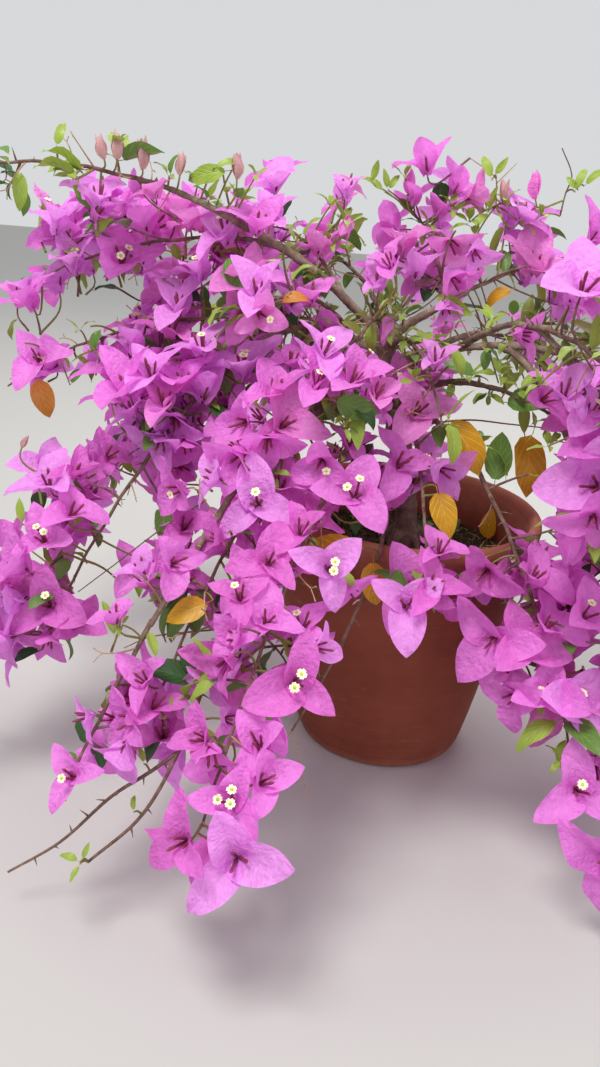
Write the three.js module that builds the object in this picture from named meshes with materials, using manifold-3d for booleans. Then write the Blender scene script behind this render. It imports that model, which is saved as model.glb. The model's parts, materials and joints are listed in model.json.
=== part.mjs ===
// A bougainvillea bush in a round clay pot.
// Millimetres, +Z up, -Y is the front. The origin is the centre of the pot's flat underside.
import * as THREE from "three";
import { mergeVertices } from "three/addons/utils/BufferGeometryUtils.js";
import Module from "manifold-3d";

const wasm = await Module();
wasm.setup();

// Driving sizes
const TOUCH_GAP = 0.3;
const MERGE_WITHIN = 1e-4;

const POT = {
  height: 250,
  footRadius: 82,
  heelRadius: 89,
  heelHeight: 8,
  bellyRadius: 100,
  bellyHeight: 80,
  neckRadius: 125,
  neckHeight: 226,
  rimRadius: 130,
  lipHeight: 9,
  lipRound: 2,
  wall: 10,
  floor: 14,
  segments: 32,
};
const SOIL = { height: 205, edgeDrop: 5, flatRadius: 40 };

const TRUNK = {
  foot: [4, 2],
  fork: [-38, -15, 402],
  rise: 70,
  sweep: 0.6,
  flareRadius: 17,
  stemRadius: 11,
  forkRadius: 8.5,
  flareShare: 0.14,
  sides: 9,
  steps: 8,
};

// How every cane bends: the shares of its straight line under its two handles, and the outer one's rise.
const BEND = { inner: 0.3, outer: 0.72, outerArch: 0.85 };
const BOUGH = { baseRadius: [5.6, 3.9, 3.1], leafyRadius: 2.7, sides: 5, steps: 5 };
const STEM = { tipRadius: 2, sides: 3, steps: 4 };

const SHOOT = {
  baseRadius: 1.1,
  tipRadius: 1,
  sink: 1,
  lean: 0.45,
  rise: 0.35,
  firstPlace: 0.2,
  lastPlace: 0.5,
  jitter: 0.6,
  shortest: 0.55,
  taper: 0.35,
  lastTry: 0.3,
  endLean: 2,
  endLength: 0.4,
};

// The blades at a shoot's end: three bracts round the flowers, or three leaves. opening: degrees between
// a blade and the shoot's axis. widest: the share of the length where the blade is widest.
const BRACT = { length: 54, halfWidth: 21, widest: 0.42, opening: 62, cup: 4 };
const LEAF = { length: 48, halfWidth: 13, widest: 0.4, opening: 74, cup: 2 };
const WHORL = { blades: 3, notch: 8, top: 1.4, under: 2, openingRange: 24, shortest: 0.88, longest: 1.08 };
const FACING = { outward: 0.5, rise: 0.3 };
const LEAFY_SHOOTS = 0.12;

const SPACE = {
  nodeGap: 26,
  overstep: 36,
  woodMargin: 5,
  own: 9,
  neighbour: 13,
  pot: 5,
  floor: 14,
  step: 6,
  cube: 22,
};
const SOWING = { areaPerShoot: 760, spare: 2, tries: 18, caneSeed: 10000, slotSeed: 100 };
const GOLDEN_ANGLE = 2.4;

// Each cane is one curve from its parent to its tip. Its inner part is a bare bough, and about the last
// `leafy` millimetres are the stem of one mass of foliage.
// from: parent, and the share of the parent's curve where the cane leaves it.
// tip: azimuth in degrees about the pot's axis (270 is the front), reach and height.
// arch: how far the cane rises over the straight line. spread: the length of its side shoots.
// size: the scale of its blades. green: the share of its shoots that end in leaves.
const CANES = [
  // Middle of the crown
  { name: "centre_right", from: ["trunk", 0.95], tip: [274, 108, 350], arch: 46, leafy: 95, spread: 54 },
  { name: "crown_front", from: ["trunk", 0.97], tip: [240, 156, 366], arch: 60, leafy: 120, spread: 60 },
  {
    name: "crown_centre",
    from: ["left_branch", 0.1],
    tip: [212, 190, 415],
    arch: 44,
    leafy: 130,
    spread: 62,
  },
  { name: "crown_top", from: ["left_arch", 0.12], tip: [156, 150, 484], arch: 16, leafy: 100, spread: 56 },
  { name: "top_right", from: ["upright", 0.3], tip: [100, 62, 500], arch: 14, leafy: 80, spread: 52 },
  { name: "right_inner", from: ["trunk", 0.74], tip: [342, 165, 318], arch: 50, leafy: 100, spread: 56 },
  { name: "back_top", from: ["back", 0.14], tip: [124, 200, 450], arch: 40, leafy: 120, spread: 66 },

  // Left side, as the front sees it
  {
    name: "left_arch",
    from: ["trunk", 0.98],
    tip: [189, 405, 510],
    arch: 78,
    leafy: 170,
    spread: 26,
    size: 0.5,
    green: 0.6,
  },
  { name: "upper_left", from: ["left_arch", 0.28], tip: [171, 368, 424], arch: 24, leafy: 215, spread: 56 },
  { name: "left_branch", from: ["trunk", 0.92], tip: [184, 363, 345], arch: 62, leafy: 235, spread: 58 },
  { name: "left_fall", from: ["left_branch", 0.22], tip: [203, 338, 145], arch: 82, leafy: 240, spread: 62 },
  { name: "left_back", from: ["back_left", 0.3], tip: [162, 335, 200], arch: 60, leafy: 140, spread: 64 },
  {
    name: "lower_left",
    from: ["front_left", 0.28],
    tip: [229, 380, 112],
    arch: 64,
    leafy: 110,
    spread: 40,
    size: 0.7,
  },

  // Front, down to the lowest blooms
  { name: "front_left", from: ["trunk", 0.84], tip: [232, 317, 158], arch: 96, leafy: 225, spread: 60 },
  { name: "front_hang", from: ["trunk", 0.78], tip: [246, 362, 128], arch: 72, leafy: 240, spread: 58 },
  { name: "front", from: ["trunk", 0.7], tip: [271, 185, 232], arch: 64, leafy: 120, spread: 54 },
  { name: "front_right", from: ["front", 0.25], tip: [302, 242, 122], arch: 84, leafy: 190, spread: 58 },

  // Right side
  { name: "right_reach", from: ["trunk", 0.9], tip: [2, 300, 352], arch: 50, leafy: 140, spread: 68 },
  { name: "right_near", from: ["right_reach", 0.2], tip: [291, 290, 405], arch: 50, leafy: 140, spread: 58 },
  { name: "right_mid", from: ["right_near", 0.4], tip: [296, 292, 300], arch: 44, leafy: 120, spread: 58 },
  { name: "right_side", from: ["right_reach", 0.42], tip: [10, 300, 195], arch: 60, leafy: 130, spread: 68 },
  { name: "right_hang", from: ["right_reach", 0.3], tip: [322, 268, 80], arch: 90, leafy: 150, spread: 60 },
  { name: "upright", from: ["trunk", 0.99], tip: [19, 142, 482], arch: 20, leafy: 120, spread: 56 },

  // Back
  { name: "back_right", from: ["trunk", 0.8], tip: [48, 290, 325], arch: 80, leafy: 200, spread: 72 },
  { name: "back", from: ["trunk", 0.88], tip: [93, 285, 290], arch: 96, leafy: 210, spread: 74 },
  { name: "back_left", from: ["trunk", 0.8], tip: [134, 315, 320], arch: 84, leafy: 210, spread: 72 },
];

const FINISH = {
  clay: { color: 0x8f4230, roughness: 0.8, metalness: 0 },
  soil: { color: 0x4a3b2c, roughness: 1, metalness: 0 },
  bark: { color: 0x7a6454, roughness: 0.9, metalness: 0 },
  bracts: { color: 0xd65fd0, roughness: 0.6, metalness: 0 },
};

const UP = new THREE.Vector3(0, 0, 1);

// A generator whose numbers depend only on the seed.
function seededRandom(seed) {
  const modulus = 2147483647;
  const step = 16807;
  const seedStep = 7919;
  const seedStart = 104729;
  let state = 1 + ((seed * seedStep + seedStart) % (modulus - 1));
  const next = () => {
    state = (state * step) % modulus;
    return state / modulus;
  };
  next();
  next();
  return next;
}

function mix(from, to, share) {
  return from + (to - from) * share;
}

// The sum of vectors, each times its factor.
function combine(...terms) {
  const sum = new THREE.Vector3();
  for (const [vector, factor] of terms) sum.addScaledVector(vector, factor);
  return sum;
}

function between(from, to, share) {
  return combine([from, 1 - share], [to, share]);
}

function cylindrical([azimuth, reach, height]) {
  const angle = THREE.MathUtils.degToRad(azimuth);
  return new THREE.Vector3(reach * Math.cos(angle), reach * Math.sin(angle), height);
}

// A closed three.js geometry as a solid that can be joined and cut.
function toSolid(geometry) {
  const bare = geometry.index ? geometry.toNonIndexed() : geometry.clone();
  bare.deleteAttribute("normal");
  bare.deleteAttribute("uv");
  const merged = mergeVertices(bare, MERGE_WITHIN);
  const corners = merged.index.array;
  const kept = [];
  for (let i = 0; i < corners.length; i += 3) {
    const [a, b, c] = [corners[i], corners[i + 1], corners[i + 2]];
    if (a !== b && b !== c && c !== a) kept.push(a, b, c);
  }
  return new wasm.Manifold(
    new wasm.Mesh({
      numProp: 3,
      vertProperties: merged.attributes.position.array,
      triVerts: new Uint32Array(kept),
    }),
  );
}

function toGeometry(solid) {
  const mesh = solid.getMesh();
  const geometry = new THREE.BufferGeometry();
  geometry.setAttribute("position", new THREE.BufferAttribute(new Float32Array(mesh.vertProperties), 3));
  geometry.setIndex(new THREE.BufferAttribute(new Uint32Array(mesh.triVerts), 1));
  geometry.computeVertexNormals();
  return geometry;
}

// The largest body of a solid without its sealed hollows, so loose scraps are dropped.
function largestBody(solid) {
  return solid.decompose().reduce((best, body) => (body.volume() > best.volume() ? body : best));
}

// Two axes across a direction, so that side, direction and other are right-handed.
function crossAxes(direction, sideways) {
  const other = combine([sideways, 1], [direction, -sideways.dot(direction)]).normalize();
  const side = new THREE.Vector3().crossVectors(direction, other);
  return [side, other];
}

// A level direction across a run from one point to another.
function levelAcross(from, to) {
  const across = new THREE.Vector3().crossVectors(UP, combine([to, 1], [from, -1]));
  return across.length() > 1 ? across.normalize() : new THREE.Vector3(0, 1, 0);
}

// A tapering limb along a curve, between two shares of its length: a closed cylinder bent to the curve.
function limb(curve, radiusAt, { sides, steps }, from = 0, to = 1) {
  const geometry = new THREE.CylinderGeometry(1, 1, 1, sides, steps);
  const position = geometry.attributes.position;
  const sideways = levelAcross(curve.getPoint(0), curve.getPoint(1));
  for (let i = 0; i < position.count; i++) {
    const share = mix(from, to, position.getY(i) + 0.5);
    const [side, other] = crossAxes(curve.getTangent(share), sideways);
    const radius = radiusAt(share);
    const place = combine(
      [curve.getPoint(share), 1],
      [side, position.getX(i) * radius],
      [other, position.getZ(i) * radius],
    );
    position.setXYZ(i, place.x, place.y, place.z);
  }
  return toSolid(geometry);
}

function lathe(profile) {
  const points = profile.map(([radius, z]) => new THREE.Vector2(radius, z));
  return toSolid(new THREE.LatheGeometry(points, POT.segments).rotateX(Math.PI / 2));
}

function potOutside() {
  return [
    [POT.footRadius, 0],
    [POT.heelRadius, POT.heelHeight],
    [POT.bellyRadius, POT.bellyHeight],
    [POT.neckRadius, POT.neckHeight],
    [POT.rimRadius, POT.height - POT.lipHeight],
    [POT.rimRadius - POT.lipRound, POT.height - POT.lipRound],
    [POT.rimRadius - POT.wall / 2, POT.height],
  ];
}

function potInside() {
  return [
    [POT.heelRadius - POT.wall, POT.floor],
    [POT.bellyRadius - POT.wall, POT.bellyHeight],
    [POT.neckRadius - POT.wall, POT.neckHeight],
    [POT.rimRadius - POT.wall, POT.height - POT.lipRound],
  ];
}

function pot() {
  return lathe([[0, 0], ...potOutside(), ...potInside().reverse(), [0, POT.floor]]);
}

// The radius of an outline at a height.
function radiusOf(outline, z) {
  const above = Math.max(1, outline.findIndex(([, height]) => height >= z));
  const [lowRadius, low] = outline[above - 1];
  const [highRadius, high] = outline[above];
  return mix(lowRadius, highRadius, (z - low) / (high - low));
}

function soil() {
  const edge = SOIL.height - SOIL.edgeDrop;
  const bottom = POT.floor + TOUCH_GAP;
  const clear = (z) => radiusOf(potInside(), z) - TOUCH_GAP;
  return lathe([
    [0, bottom],
    [clear(bottom), bottom],
    [clear(POT.bellyHeight), POT.bellyHeight],
    [clear(edge), edge],
    [SOIL.flatRadius, SOIL.height],
    [0, SOIL.height],
  ]);
}

const fork = new THREE.Vector3(...TRUNK.fork);
const trunkCurve = new THREE.CubicBezierCurve3(
  new THREE.Vector3(...TRUNK.foot, SOIL.height + TOUCH_GAP),
  new THREE.Vector3(...TRUNK.foot, SOIL.height + TRUNK.rise),
  new THREE.Vector3(fork.x * TRUNK.sweep, fork.y * TRUNK.sweep, fork.z - TRUNK.rise),
  fork,
);

function trunkRadius(share) {
  const flare = Math.max(0, 1 - share / TRUNK.flareShare) ** 2;
  return mix(TRUNK.stemRadius, TRUNK.forkRadius, share) + (TRUNK.flareRadius - TRUNK.stemRadius) * flare;
}

// A cane with its curve, its radius, the share where its foliage starts and the nodes of its space.
function growCane(sizes, index, parent) {
  const start = parent ? parent.curve.getPoint(sizes.from[1]) : trunkCurve.getPoint(sizes.from[1]);
  const tip = cylindrical(sizes.tip);
  const curve = new THREE.CubicBezierCurve3(
    start,
    combine([between(start, tip, BEND.inner), 1], [UP, sizes.arch]),
    combine([between(start, tip, BEND.outer), 1], [UP, sizes.arch * BEND.outerArch]),
    tip,
  );
  const level = parent ? parent.level + 1 : 0;
  const leafyShare = 1 - sizes.leafy / curve.getLength();
  const radiusAt = (share) =>
    share < leafyShare
      ? mix(BOUGH.baseRadius[level], BOUGH.leafyRadius, share / leafyShare)
      : mix(BOUGH.leafyRadius, STEM.tipRadius, (share - leafyShare) / (1 - leafyShare));
  const nodeCount = Math.round(sizes.leafy / SPACE.nodeGap);
  const nodes = [];
  for (let i = 0; i < nodeCount; i++) {
    nodes.push(curve.getPoint(mix(leafyShare, 1, (i + 0.5) / nodeCount)));
  }
  return { size: 1, green: LEAFY_SHOOTS, ...sizes, index, level, curve, leafyShare, radiusAt, nodes };
}

// All canes in the order of the list, each grown after its parent.
function growCanes() {
  const byName = new Map();
  const waiting = CANES.map((sizes, index) => [sizes, index]);
  while (waiting.length > 0) {
    const [sizes, index] = waiting.shift();
    const [parentName] = sizes.from;
    if (parentName !== "trunk" && !byName.has(parentName)) {
      waiting.push([sizes, index]);
      continue;
    }
    byName.set(sizes.name, growCane(sizes, index, byName.get(parentName)));
  }
  return CANES.map(({ name }) => byName.get(name));
}

const canes = growCanes();

// Places already taken by wood and blades, kept in cubes so that those near a point are found quickly.
class TakenPlaces {
  cubes = new Map();

  cubeOf({ x, y, z }, dx = 0, dy = 0, dz = 0) {
    const cell = (value, step) => Math.floor(value / SPACE.cube) + step;
    return [cell(x, dx), cell(y, dy), cell(z, dz)].join();
  }

  add(place, owner, own, neighbour) {
    const key = this.cubeOf(place);
    if (!this.cubes.has(key)) this.cubes.set(key, []);
    this.cubes.get(key).push({ place, owner, own, neighbour });
  }

  isClear(point, owner) {
    for (const dx of [-1, 0, 1]) {
      for (const dy of [-1, 0, 1]) {
        for (const dz of [-1, 0, 1]) {
          for (const held of this.cubes.get(this.cubeOf(point, dx, dy, dz)) ?? []) {
            const clearance = held.owner === owner ? held.own : held.neighbour;
            if (held.place.distanceTo(point) < clearance) return false;
          }
        }
      }
    }
    return true;
  }
}

// The places that the trunk, the boughs and the stems of the masses take.
function placesOfWood() {
  const places = new TakenPlaces();
  const follow = (curve, radiusAt, from, to, owner) => {
    const count = Math.ceil((curve.getLength() * (to - from)) / SPACE.step);
    for (let i = 0; i <= count; i++) {
      const share = mix(from, to, i / count);
      const clearance = radiusAt(share) + SPACE.woodMargin;
      places.add(curve.getPoint(share), owner, owner === null ? clearance : 0, clearance);
    }
  };
  follow(trunkCurve, trunkRadius, 0, 1, null);
  for (const { curve, radiusAt, leafyShare, name } of canes) {
    follow(curve, radiusAt, 0, leafyShare, null);
    follow(curve, radiusAt, leafyShare, 1, name);
  }
  return places;
}

const taken = placesOfWood();

function distanceToSpace(point, cane) {
  return Math.min(...cane.nodes.map((node) => node.distanceTo(point)));
}

function isInPot({ x, y, z }) {
  if (z > POT.height + SPACE.pot) return false;
  return Math.hypot(x, y) < radiusOf(potOutside(), Math.min(z, POT.height)) + SPACE.pot;
}

// Whether a point is in its cane's own space, and clear of the floor, the pot and what is already there.
function isFree(point, cane) {
  if (point.z < SPACE.floor || isInPot(point)) return false;
  const farthest = distanceToSpace(point, cane) - SPACE.overstep;
  if (canes.some((other) => other !== cane && distanceToSpace(point, other) < farthest)) return false;
  return taken.isClear(point, cane.name);
}

// The side shoot that a cane tries at a slot: where it starts and ends, and the way its blades face.
function shootAt(cane, slot, slots, attempt) {
  const random = seededRandom(cane.index * SOWING.caneSeed + slot * SOWING.slotSeed + attempt);
  const isLast = slot === slots - 1;
  const place = (slot + SHOOT.firstPlace + SHOOT.jitter * random()) / (slots - SHOOT.lastPlace);
  const share = isLast ? 1 : place;
  const along = mix(cane.leafyShare, 1, share);
  const tangent = cane.curve.getTangent(along);
  const [side, other] = crossAxes(tangent, levelAcross(cane.curve.v0, cane.curve.v3));
  const angle = GOLDEN_ANGLE * slot + attempt + SHOOT.jitter * random();
  const direction = combine(
    [side, Math.cos(angle)],
    [other, Math.sin(angle)],
    [tangent, isLast ? SHOOT.endLean : SHOOT.lean],
    [UP, SHOOT.rise],
  ).normalize();
  const taper = isLast ? SHOOT.endLength : 1 - SHOOT.taper * share;
  const patience = mix(1, SHOOT.lastTry, attempt / SOWING.tries);
  const length = cane.spread * mix(SHOOT.shortest, 1, random()) * taper * patience;
  const start = cane.curve.getPoint(along);
  const end = combine([start, 1], [direction, length]);
  const outward = new THREE.Vector3(end.x, end.y, 0).normalize();
  const axis = combine([direction, 1], [outward, FACING.outward], [UP, FACING.rise]).normalize();
  const blade = random() < cane.green ? LEAF : BRACT;
  const turn = 2 * Math.PI * random();
  return { start, end, direction, axis, blade, size: cane.size, turn, random };
}

// The three blades at the end of a shoot, each with its corners: the notch before it, one side, its tip
// and the other side. outward: the way it points, seen along the shoot's axis.
function bladesOf(shoot) {
  const { end, axis, blade, size, turn, random } = shoot;
  const [side, other] = crossAxes(axis, levelAcross(shoot.start, end));
  const step = (2 * Math.PI) / WHORL.blades;
  const blades = [];
  for (let k = 0; k < WHORL.blades; k++) {
    const angle = turn + k * step;
    const opening = THREE.MathUtils.degToRad(blade.opening + WHORL.openingRange * (random() - 0.5));
    const length = size * blade.length * mix(WHORL.shortest, WHORL.longest, random());
    const outward = combine([side, -Math.cos(angle)], [other, Math.sin(angle)]);
    const across = combine([side, Math.sin(angle)], [other, Math.cos(angle)]);
    const notch = combine([side, -Math.cos(angle - step / 2)], [other, Math.sin(angle - step / 2)]);
    const midrib = combine([axis, Math.cos(opening)], [outward, Math.sin(opening)]);
    const middle = combine([end, 1], [midrib, length * blade.widest], [axis, blade.cup]);
    const corners = [
      combine([end, 1], [notch, size * WHORL.notch]),
      combine([middle, 1], [across, -size * blade.halfWidth]),
      combine([end, 1], [midrib, length]),
      combine([middle, 1], [across, size * blade.halfWidth]),
    ];
    blades.push({ outward, corners });
  }
  return blades;
}

// A shoot with its three blades as one closed solid: a sphere of five rows, of which the last two wrap
// the shoot, the second is the outline of the blades and the first is the middle of their upper side.
function whorl(shoot, blades) {
  const corners = blades.flatMap((blade) => blade.corners);
  const columns = corners.length;
  const outwardAt = (column) => blades[Math.floor((column * WHORL.blades) / columns)].outward;
  const rows = [
    () => combine([shoot.end, 1], [shoot.axis, WHORL.top]),
    (column) => corners[column],
    (column) => combine([shoot.end, 1], [shoot.axis, -WHORL.under], [outwardAt(column), SHOOT.tipRadius]),
    (column) => {
      const outward = outwardAt(column);
      const across = combine([outward, 1], [shoot.direction, -outward.dot(shoot.direction)]).normalize();
      return combine([shoot.start, 1], [across, SHOOT.baseRadius]);
    },
    () => combine([shoot.start, 1], [shoot.direction, -SHOOT.sink]),
  ];
  const geometry = new THREE.SphereGeometry(1, columns, rows.length - 1);
  const position = geometry.attributes.position;
  for (let i = 0; i < position.count; i++) {
    const row = Math.floor(i / (columns + 1));
    const column = (i % (columns + 1)) % columns;
    const place = rows[row](column);
    position.setXYZ(i, place.x, place.y, place.z);
  }
  return toSolid(geometry);
}

// Points over a shoot and its blades, close enough together to test the space that they take.
function samplesOf(shoot, blades) {
  const overShoot = [0.3, 0.5, 0.7, 0.85, 1];
  const overBlade = [0.33, 0.66, 1];
  const points = overShoot.map((share) => between(shoot.start, shoot.end, share));
  for (const { corners } of blades) {
    const [, left, tip, right] = corners;
    for (const share of overBlade) {
      for (const corner of [left, tip, right]) points.push(between(shoot.end, corner, share));
      for (const corner of [left, right]) points.push(between(corner, tip, share));
    }
  }
  return points;
}

// One mass of foliage: the cane's outer stem, with the shoots that find room in the cane's own space.
function foliage(cane) {
  const gap = TOUCH_GAP / cane.curve.getLength();
  const slots = Math.round((cane.leafy * cane.spread) / SOWING.areaPerShoot) + SOWING.spare;
  let mass = limb(cane.curve, cane.radiusAt, STEM, cane.leafyShare + gap, 1);
  for (let slot = 0; slot < slots; slot++) {
    for (let attempt = 0; attempt < SOWING.tries; attempt++) {
      const shoot = shootAt(cane, slot, slots, attempt);
      const blades = bladesOf(shoot);
      const samples = samplesOf(shoot, blades);
      if (!samples.every((point) => isFree(point, cane))) continue;
      mass = mass.add(whorl(shoot, blades));
      for (const point of samples) taken.add(point, cane.name, SPACE.own, SPACE.neighbour);
      break;
    }
  }
  return largestBody(mass);
}

function addNode(group, name, solid, finish) {
  const mesh = new THREE.Mesh(toGeometry(solid), new THREE.MeshStandardMaterial(finish));
  mesh.name = name;
  group.add(mesh);
}

// The boughs in the order of the list, each cut clear of the trunk and of those before it.
function addBoughs(group) {
  const grown = (radiusAt) => (share) => radiusAt(share) + TOUCH_GAP;
  let limbs = limb(trunkCurve, grown(trunkRadius), TRUNK);
  for (const { name, curve, radiusAt, leafyShare } of canes) {
    const wood = limb(curve, radiusAt, BOUGH, 0, leafyShare);
    addNode(group, "bough_" + name, largestBody(wood.subtract(limbs)), FINISH.bark);
    limbs = limbs.add(limb(curve, grown(radiusAt), BOUGH, 0, leafyShare));
  }
}

const bush = new THREE.Group();
addNode(bush, "pot", pot(), FINISH.clay);
addNode(bush, "soil", soil(), FINISH.soil);
addNode(bush, "trunk", limb(trunkCurve, trunkRadius, TRUNK), FINISH.bark);
addBoughs(bush);
for (const cane of canes) addNode(bush, "foliage_" + cane.name, foliage(cane), FINISH.bracts);

export default bush;
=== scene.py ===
"""A bougainvillea bush in a clay pot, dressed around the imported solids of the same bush.

The stems and their shoots grow by the rule that placed them in the solids. Each shoot then carries a spray:
blooms of three papery bracts at their real size, the small flowers inside them, leaves and side twigs.
The plant grows in millimetres, as the rule does, and its meshes are made in metres.
"""

import functools
import json
import math
import random
from dataclasses import dataclass

import bpy
import numpy as np
from bpy.props import FloatProperty, FloatVectorProperty, IntProperty, PointerProperty
from mathutils import Matrix, Vector, kdtree, noise

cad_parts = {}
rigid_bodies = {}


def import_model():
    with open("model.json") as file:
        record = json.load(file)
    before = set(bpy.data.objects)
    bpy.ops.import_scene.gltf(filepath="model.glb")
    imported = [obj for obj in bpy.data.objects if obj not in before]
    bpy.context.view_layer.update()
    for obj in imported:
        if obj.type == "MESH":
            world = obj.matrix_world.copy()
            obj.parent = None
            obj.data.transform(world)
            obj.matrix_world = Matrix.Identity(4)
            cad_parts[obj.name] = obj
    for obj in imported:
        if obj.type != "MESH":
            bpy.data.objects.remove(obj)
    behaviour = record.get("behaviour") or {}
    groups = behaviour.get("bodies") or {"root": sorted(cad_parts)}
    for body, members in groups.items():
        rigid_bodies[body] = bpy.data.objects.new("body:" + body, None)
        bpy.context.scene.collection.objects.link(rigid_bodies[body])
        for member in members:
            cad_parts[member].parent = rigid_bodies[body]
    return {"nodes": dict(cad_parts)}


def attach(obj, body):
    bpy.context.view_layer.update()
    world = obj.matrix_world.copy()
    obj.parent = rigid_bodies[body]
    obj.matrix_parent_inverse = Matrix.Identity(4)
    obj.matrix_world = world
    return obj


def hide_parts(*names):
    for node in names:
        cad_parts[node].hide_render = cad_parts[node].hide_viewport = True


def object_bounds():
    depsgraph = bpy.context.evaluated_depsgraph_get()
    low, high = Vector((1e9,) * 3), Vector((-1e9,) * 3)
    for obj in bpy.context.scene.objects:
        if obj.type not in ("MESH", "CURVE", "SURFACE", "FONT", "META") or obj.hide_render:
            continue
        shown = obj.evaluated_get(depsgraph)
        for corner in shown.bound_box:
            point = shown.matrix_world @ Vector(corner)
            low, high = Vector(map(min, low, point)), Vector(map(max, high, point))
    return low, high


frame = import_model()
CAD_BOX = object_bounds()

bl_info = {
    "name": "Potted Bougainvillea",
    "version": (1, 0, 0),
    "blender": (4, 5, 0),
    "location": "View3D > Sidebar > Bush",
    "description": "Dresses the packed solids of a bougainvillea bush and its clay pot",
    "category": "Add Mesh",
}

MM = 0.001
BODY = "root"

# Sizes that the solids have too, in millimetres
TRUNK = {
    "foot": (4, 2, 205.3),
    "fork": (-38, -15, 402),
    "rise": 70,
    "sweep": 0.6,
    "flare_radius": 17,
    "stem_radius": 11,
    "fork_radius": 8.5,
    "flare_share": 0.14,
}
BEND = {"inner": 0.3, "outer": 0.72, "outer_arch": 0.85}
BOUGH_RADIUS = (5.6, 3.9, 3.1)
LEAFY_RADIUS = 2.7
STEM_TIP_RADIUS = 2
SHOOT = {
    "lean": 0.45,
    "rise": 0.35,
    "first_place": 0.2,
    "last_place": 0.5,
    "jitter": 0.6,
    "shortest": 0.55,
    "taper": 0.35,
    "last_try": 0.3,
    "end_lean": 2,
    "end_length": 0.4,
}
BRACT = {"length": 54, "half_width": 21, "widest": 0.42, "opening": 62, "cup": 4}
LEAF = {"length": 48, "half_width": 13, "widest": 0.4, "opening": 74, "cup": 2}
WHORL = {"blades": 3, "opening_range": 24, "shortest": 0.88, "longest": 1.08}
FACING = {"outward": 0.5, "rise": 0.3}
LEAFY_SHOOTS = 0.12
SPACE = {
    "node_gap": 26,
    "overstep": 36,
    "wood_margin": 5,
    "own": 9,
    "neighbour": 13,
    "pot": 5,
    "floor": 14,
    "step": 6,
    "near": 110,
}
SOWING = {"area_per_shoot": 760, "spare": 2, "tries": 18, "cane_seed": 10000, "slot_seed": 100}
GOLDEN_ANGLE = 2.4
POT_OUTLINE = ((82, 0), (89, 8), (100, 80), (125, 226), (130, 241), (128, 248), (125, 250))
POT_HEIGHT = 250
SOIL_HEIGHT = 205

# Each cane: name, parent, share of the parent's curve, tip (azimuth in degrees, reach, height), arch,
# length of its leafy end, length of its side shoots
CANES = (
    ("centre_right", "trunk", 0.95, (274, 108, 350), 46, 95, 54),
    ("crown_front", "trunk", 0.97, (240, 156, 366), 60, 120, 60),
    ("crown_centre", "left_branch", 0.1, (212, 190, 415), 44, 130, 62),
    ("crown_top", "left_arch", 0.12, (156, 150, 484), 16, 100, 56),
    ("top_right", "upright", 0.3, (100, 62, 500), 14, 80, 52),
    ("right_inner", "trunk", 0.74, (342, 165, 318), 50, 100, 56),
    ("back_top", "back", 0.14, (124, 200, 450), 40, 120, 66),
    ("left_arch", "trunk", 0.98, (189, 405, 510), 78, 170, 26),
    ("upper_left", "left_arch", 0.28, (171, 368, 424), 24, 215, 56),
    ("left_branch", "trunk", 0.92, (184, 363, 345), 62, 235, 58),
    ("left_fall", "left_branch", 0.22, (203, 338, 145), 82, 240, 62),
    ("left_back", "back_left", 0.3, (162, 335, 200), 60, 140, 64),
    ("lower_left", "front_left", 0.28, (229, 380, 112), 64, 110, 40),
    ("front_left", "trunk", 0.84, (232, 317, 158), 96, 225, 60),
    ("front_hang", "trunk", 0.78, (246, 362, 128), 72, 240, 58),
    ("front", "trunk", 0.7, (271, 185, 232), 64, 120, 54),
    ("front_right", "front", 0.25, (302, 242, 122), 84, 190, 58),
    ("right_reach", "trunk", 0.9, (2, 300, 352), 50, 140, 68),
    ("right_near", "right_reach", 0.2, (291, 290, 405), 50, 140, 58),
    ("right_mid", "right_near", 0.4, (296, 292, 300), 44, 120, 58),
    ("right_side", "right_reach", 0.42, (10, 300, 195), 60, 130, 68),
    ("right_hang", "right_reach", 0.3, (322, 268, 80), 90, 150, 60),
    ("upright", "trunk", 0.99, (19, 142, 482), 20, 120, 56),
    ("back_right", "trunk", 0.8, (48, 290, 325), 80, 200, 72),
    ("back", "trunk", 0.88, (93, 285, 290), 96, 210, 74),
    ("back_left", "trunk", 0.8, (134, 315, 320), 84, 210, 72),
)
BLADE_SCALE = {"left_arch": 0.5, "lower_left": 0.7}
GREEN_SHARE = {"left_arch": 0.6}

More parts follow.
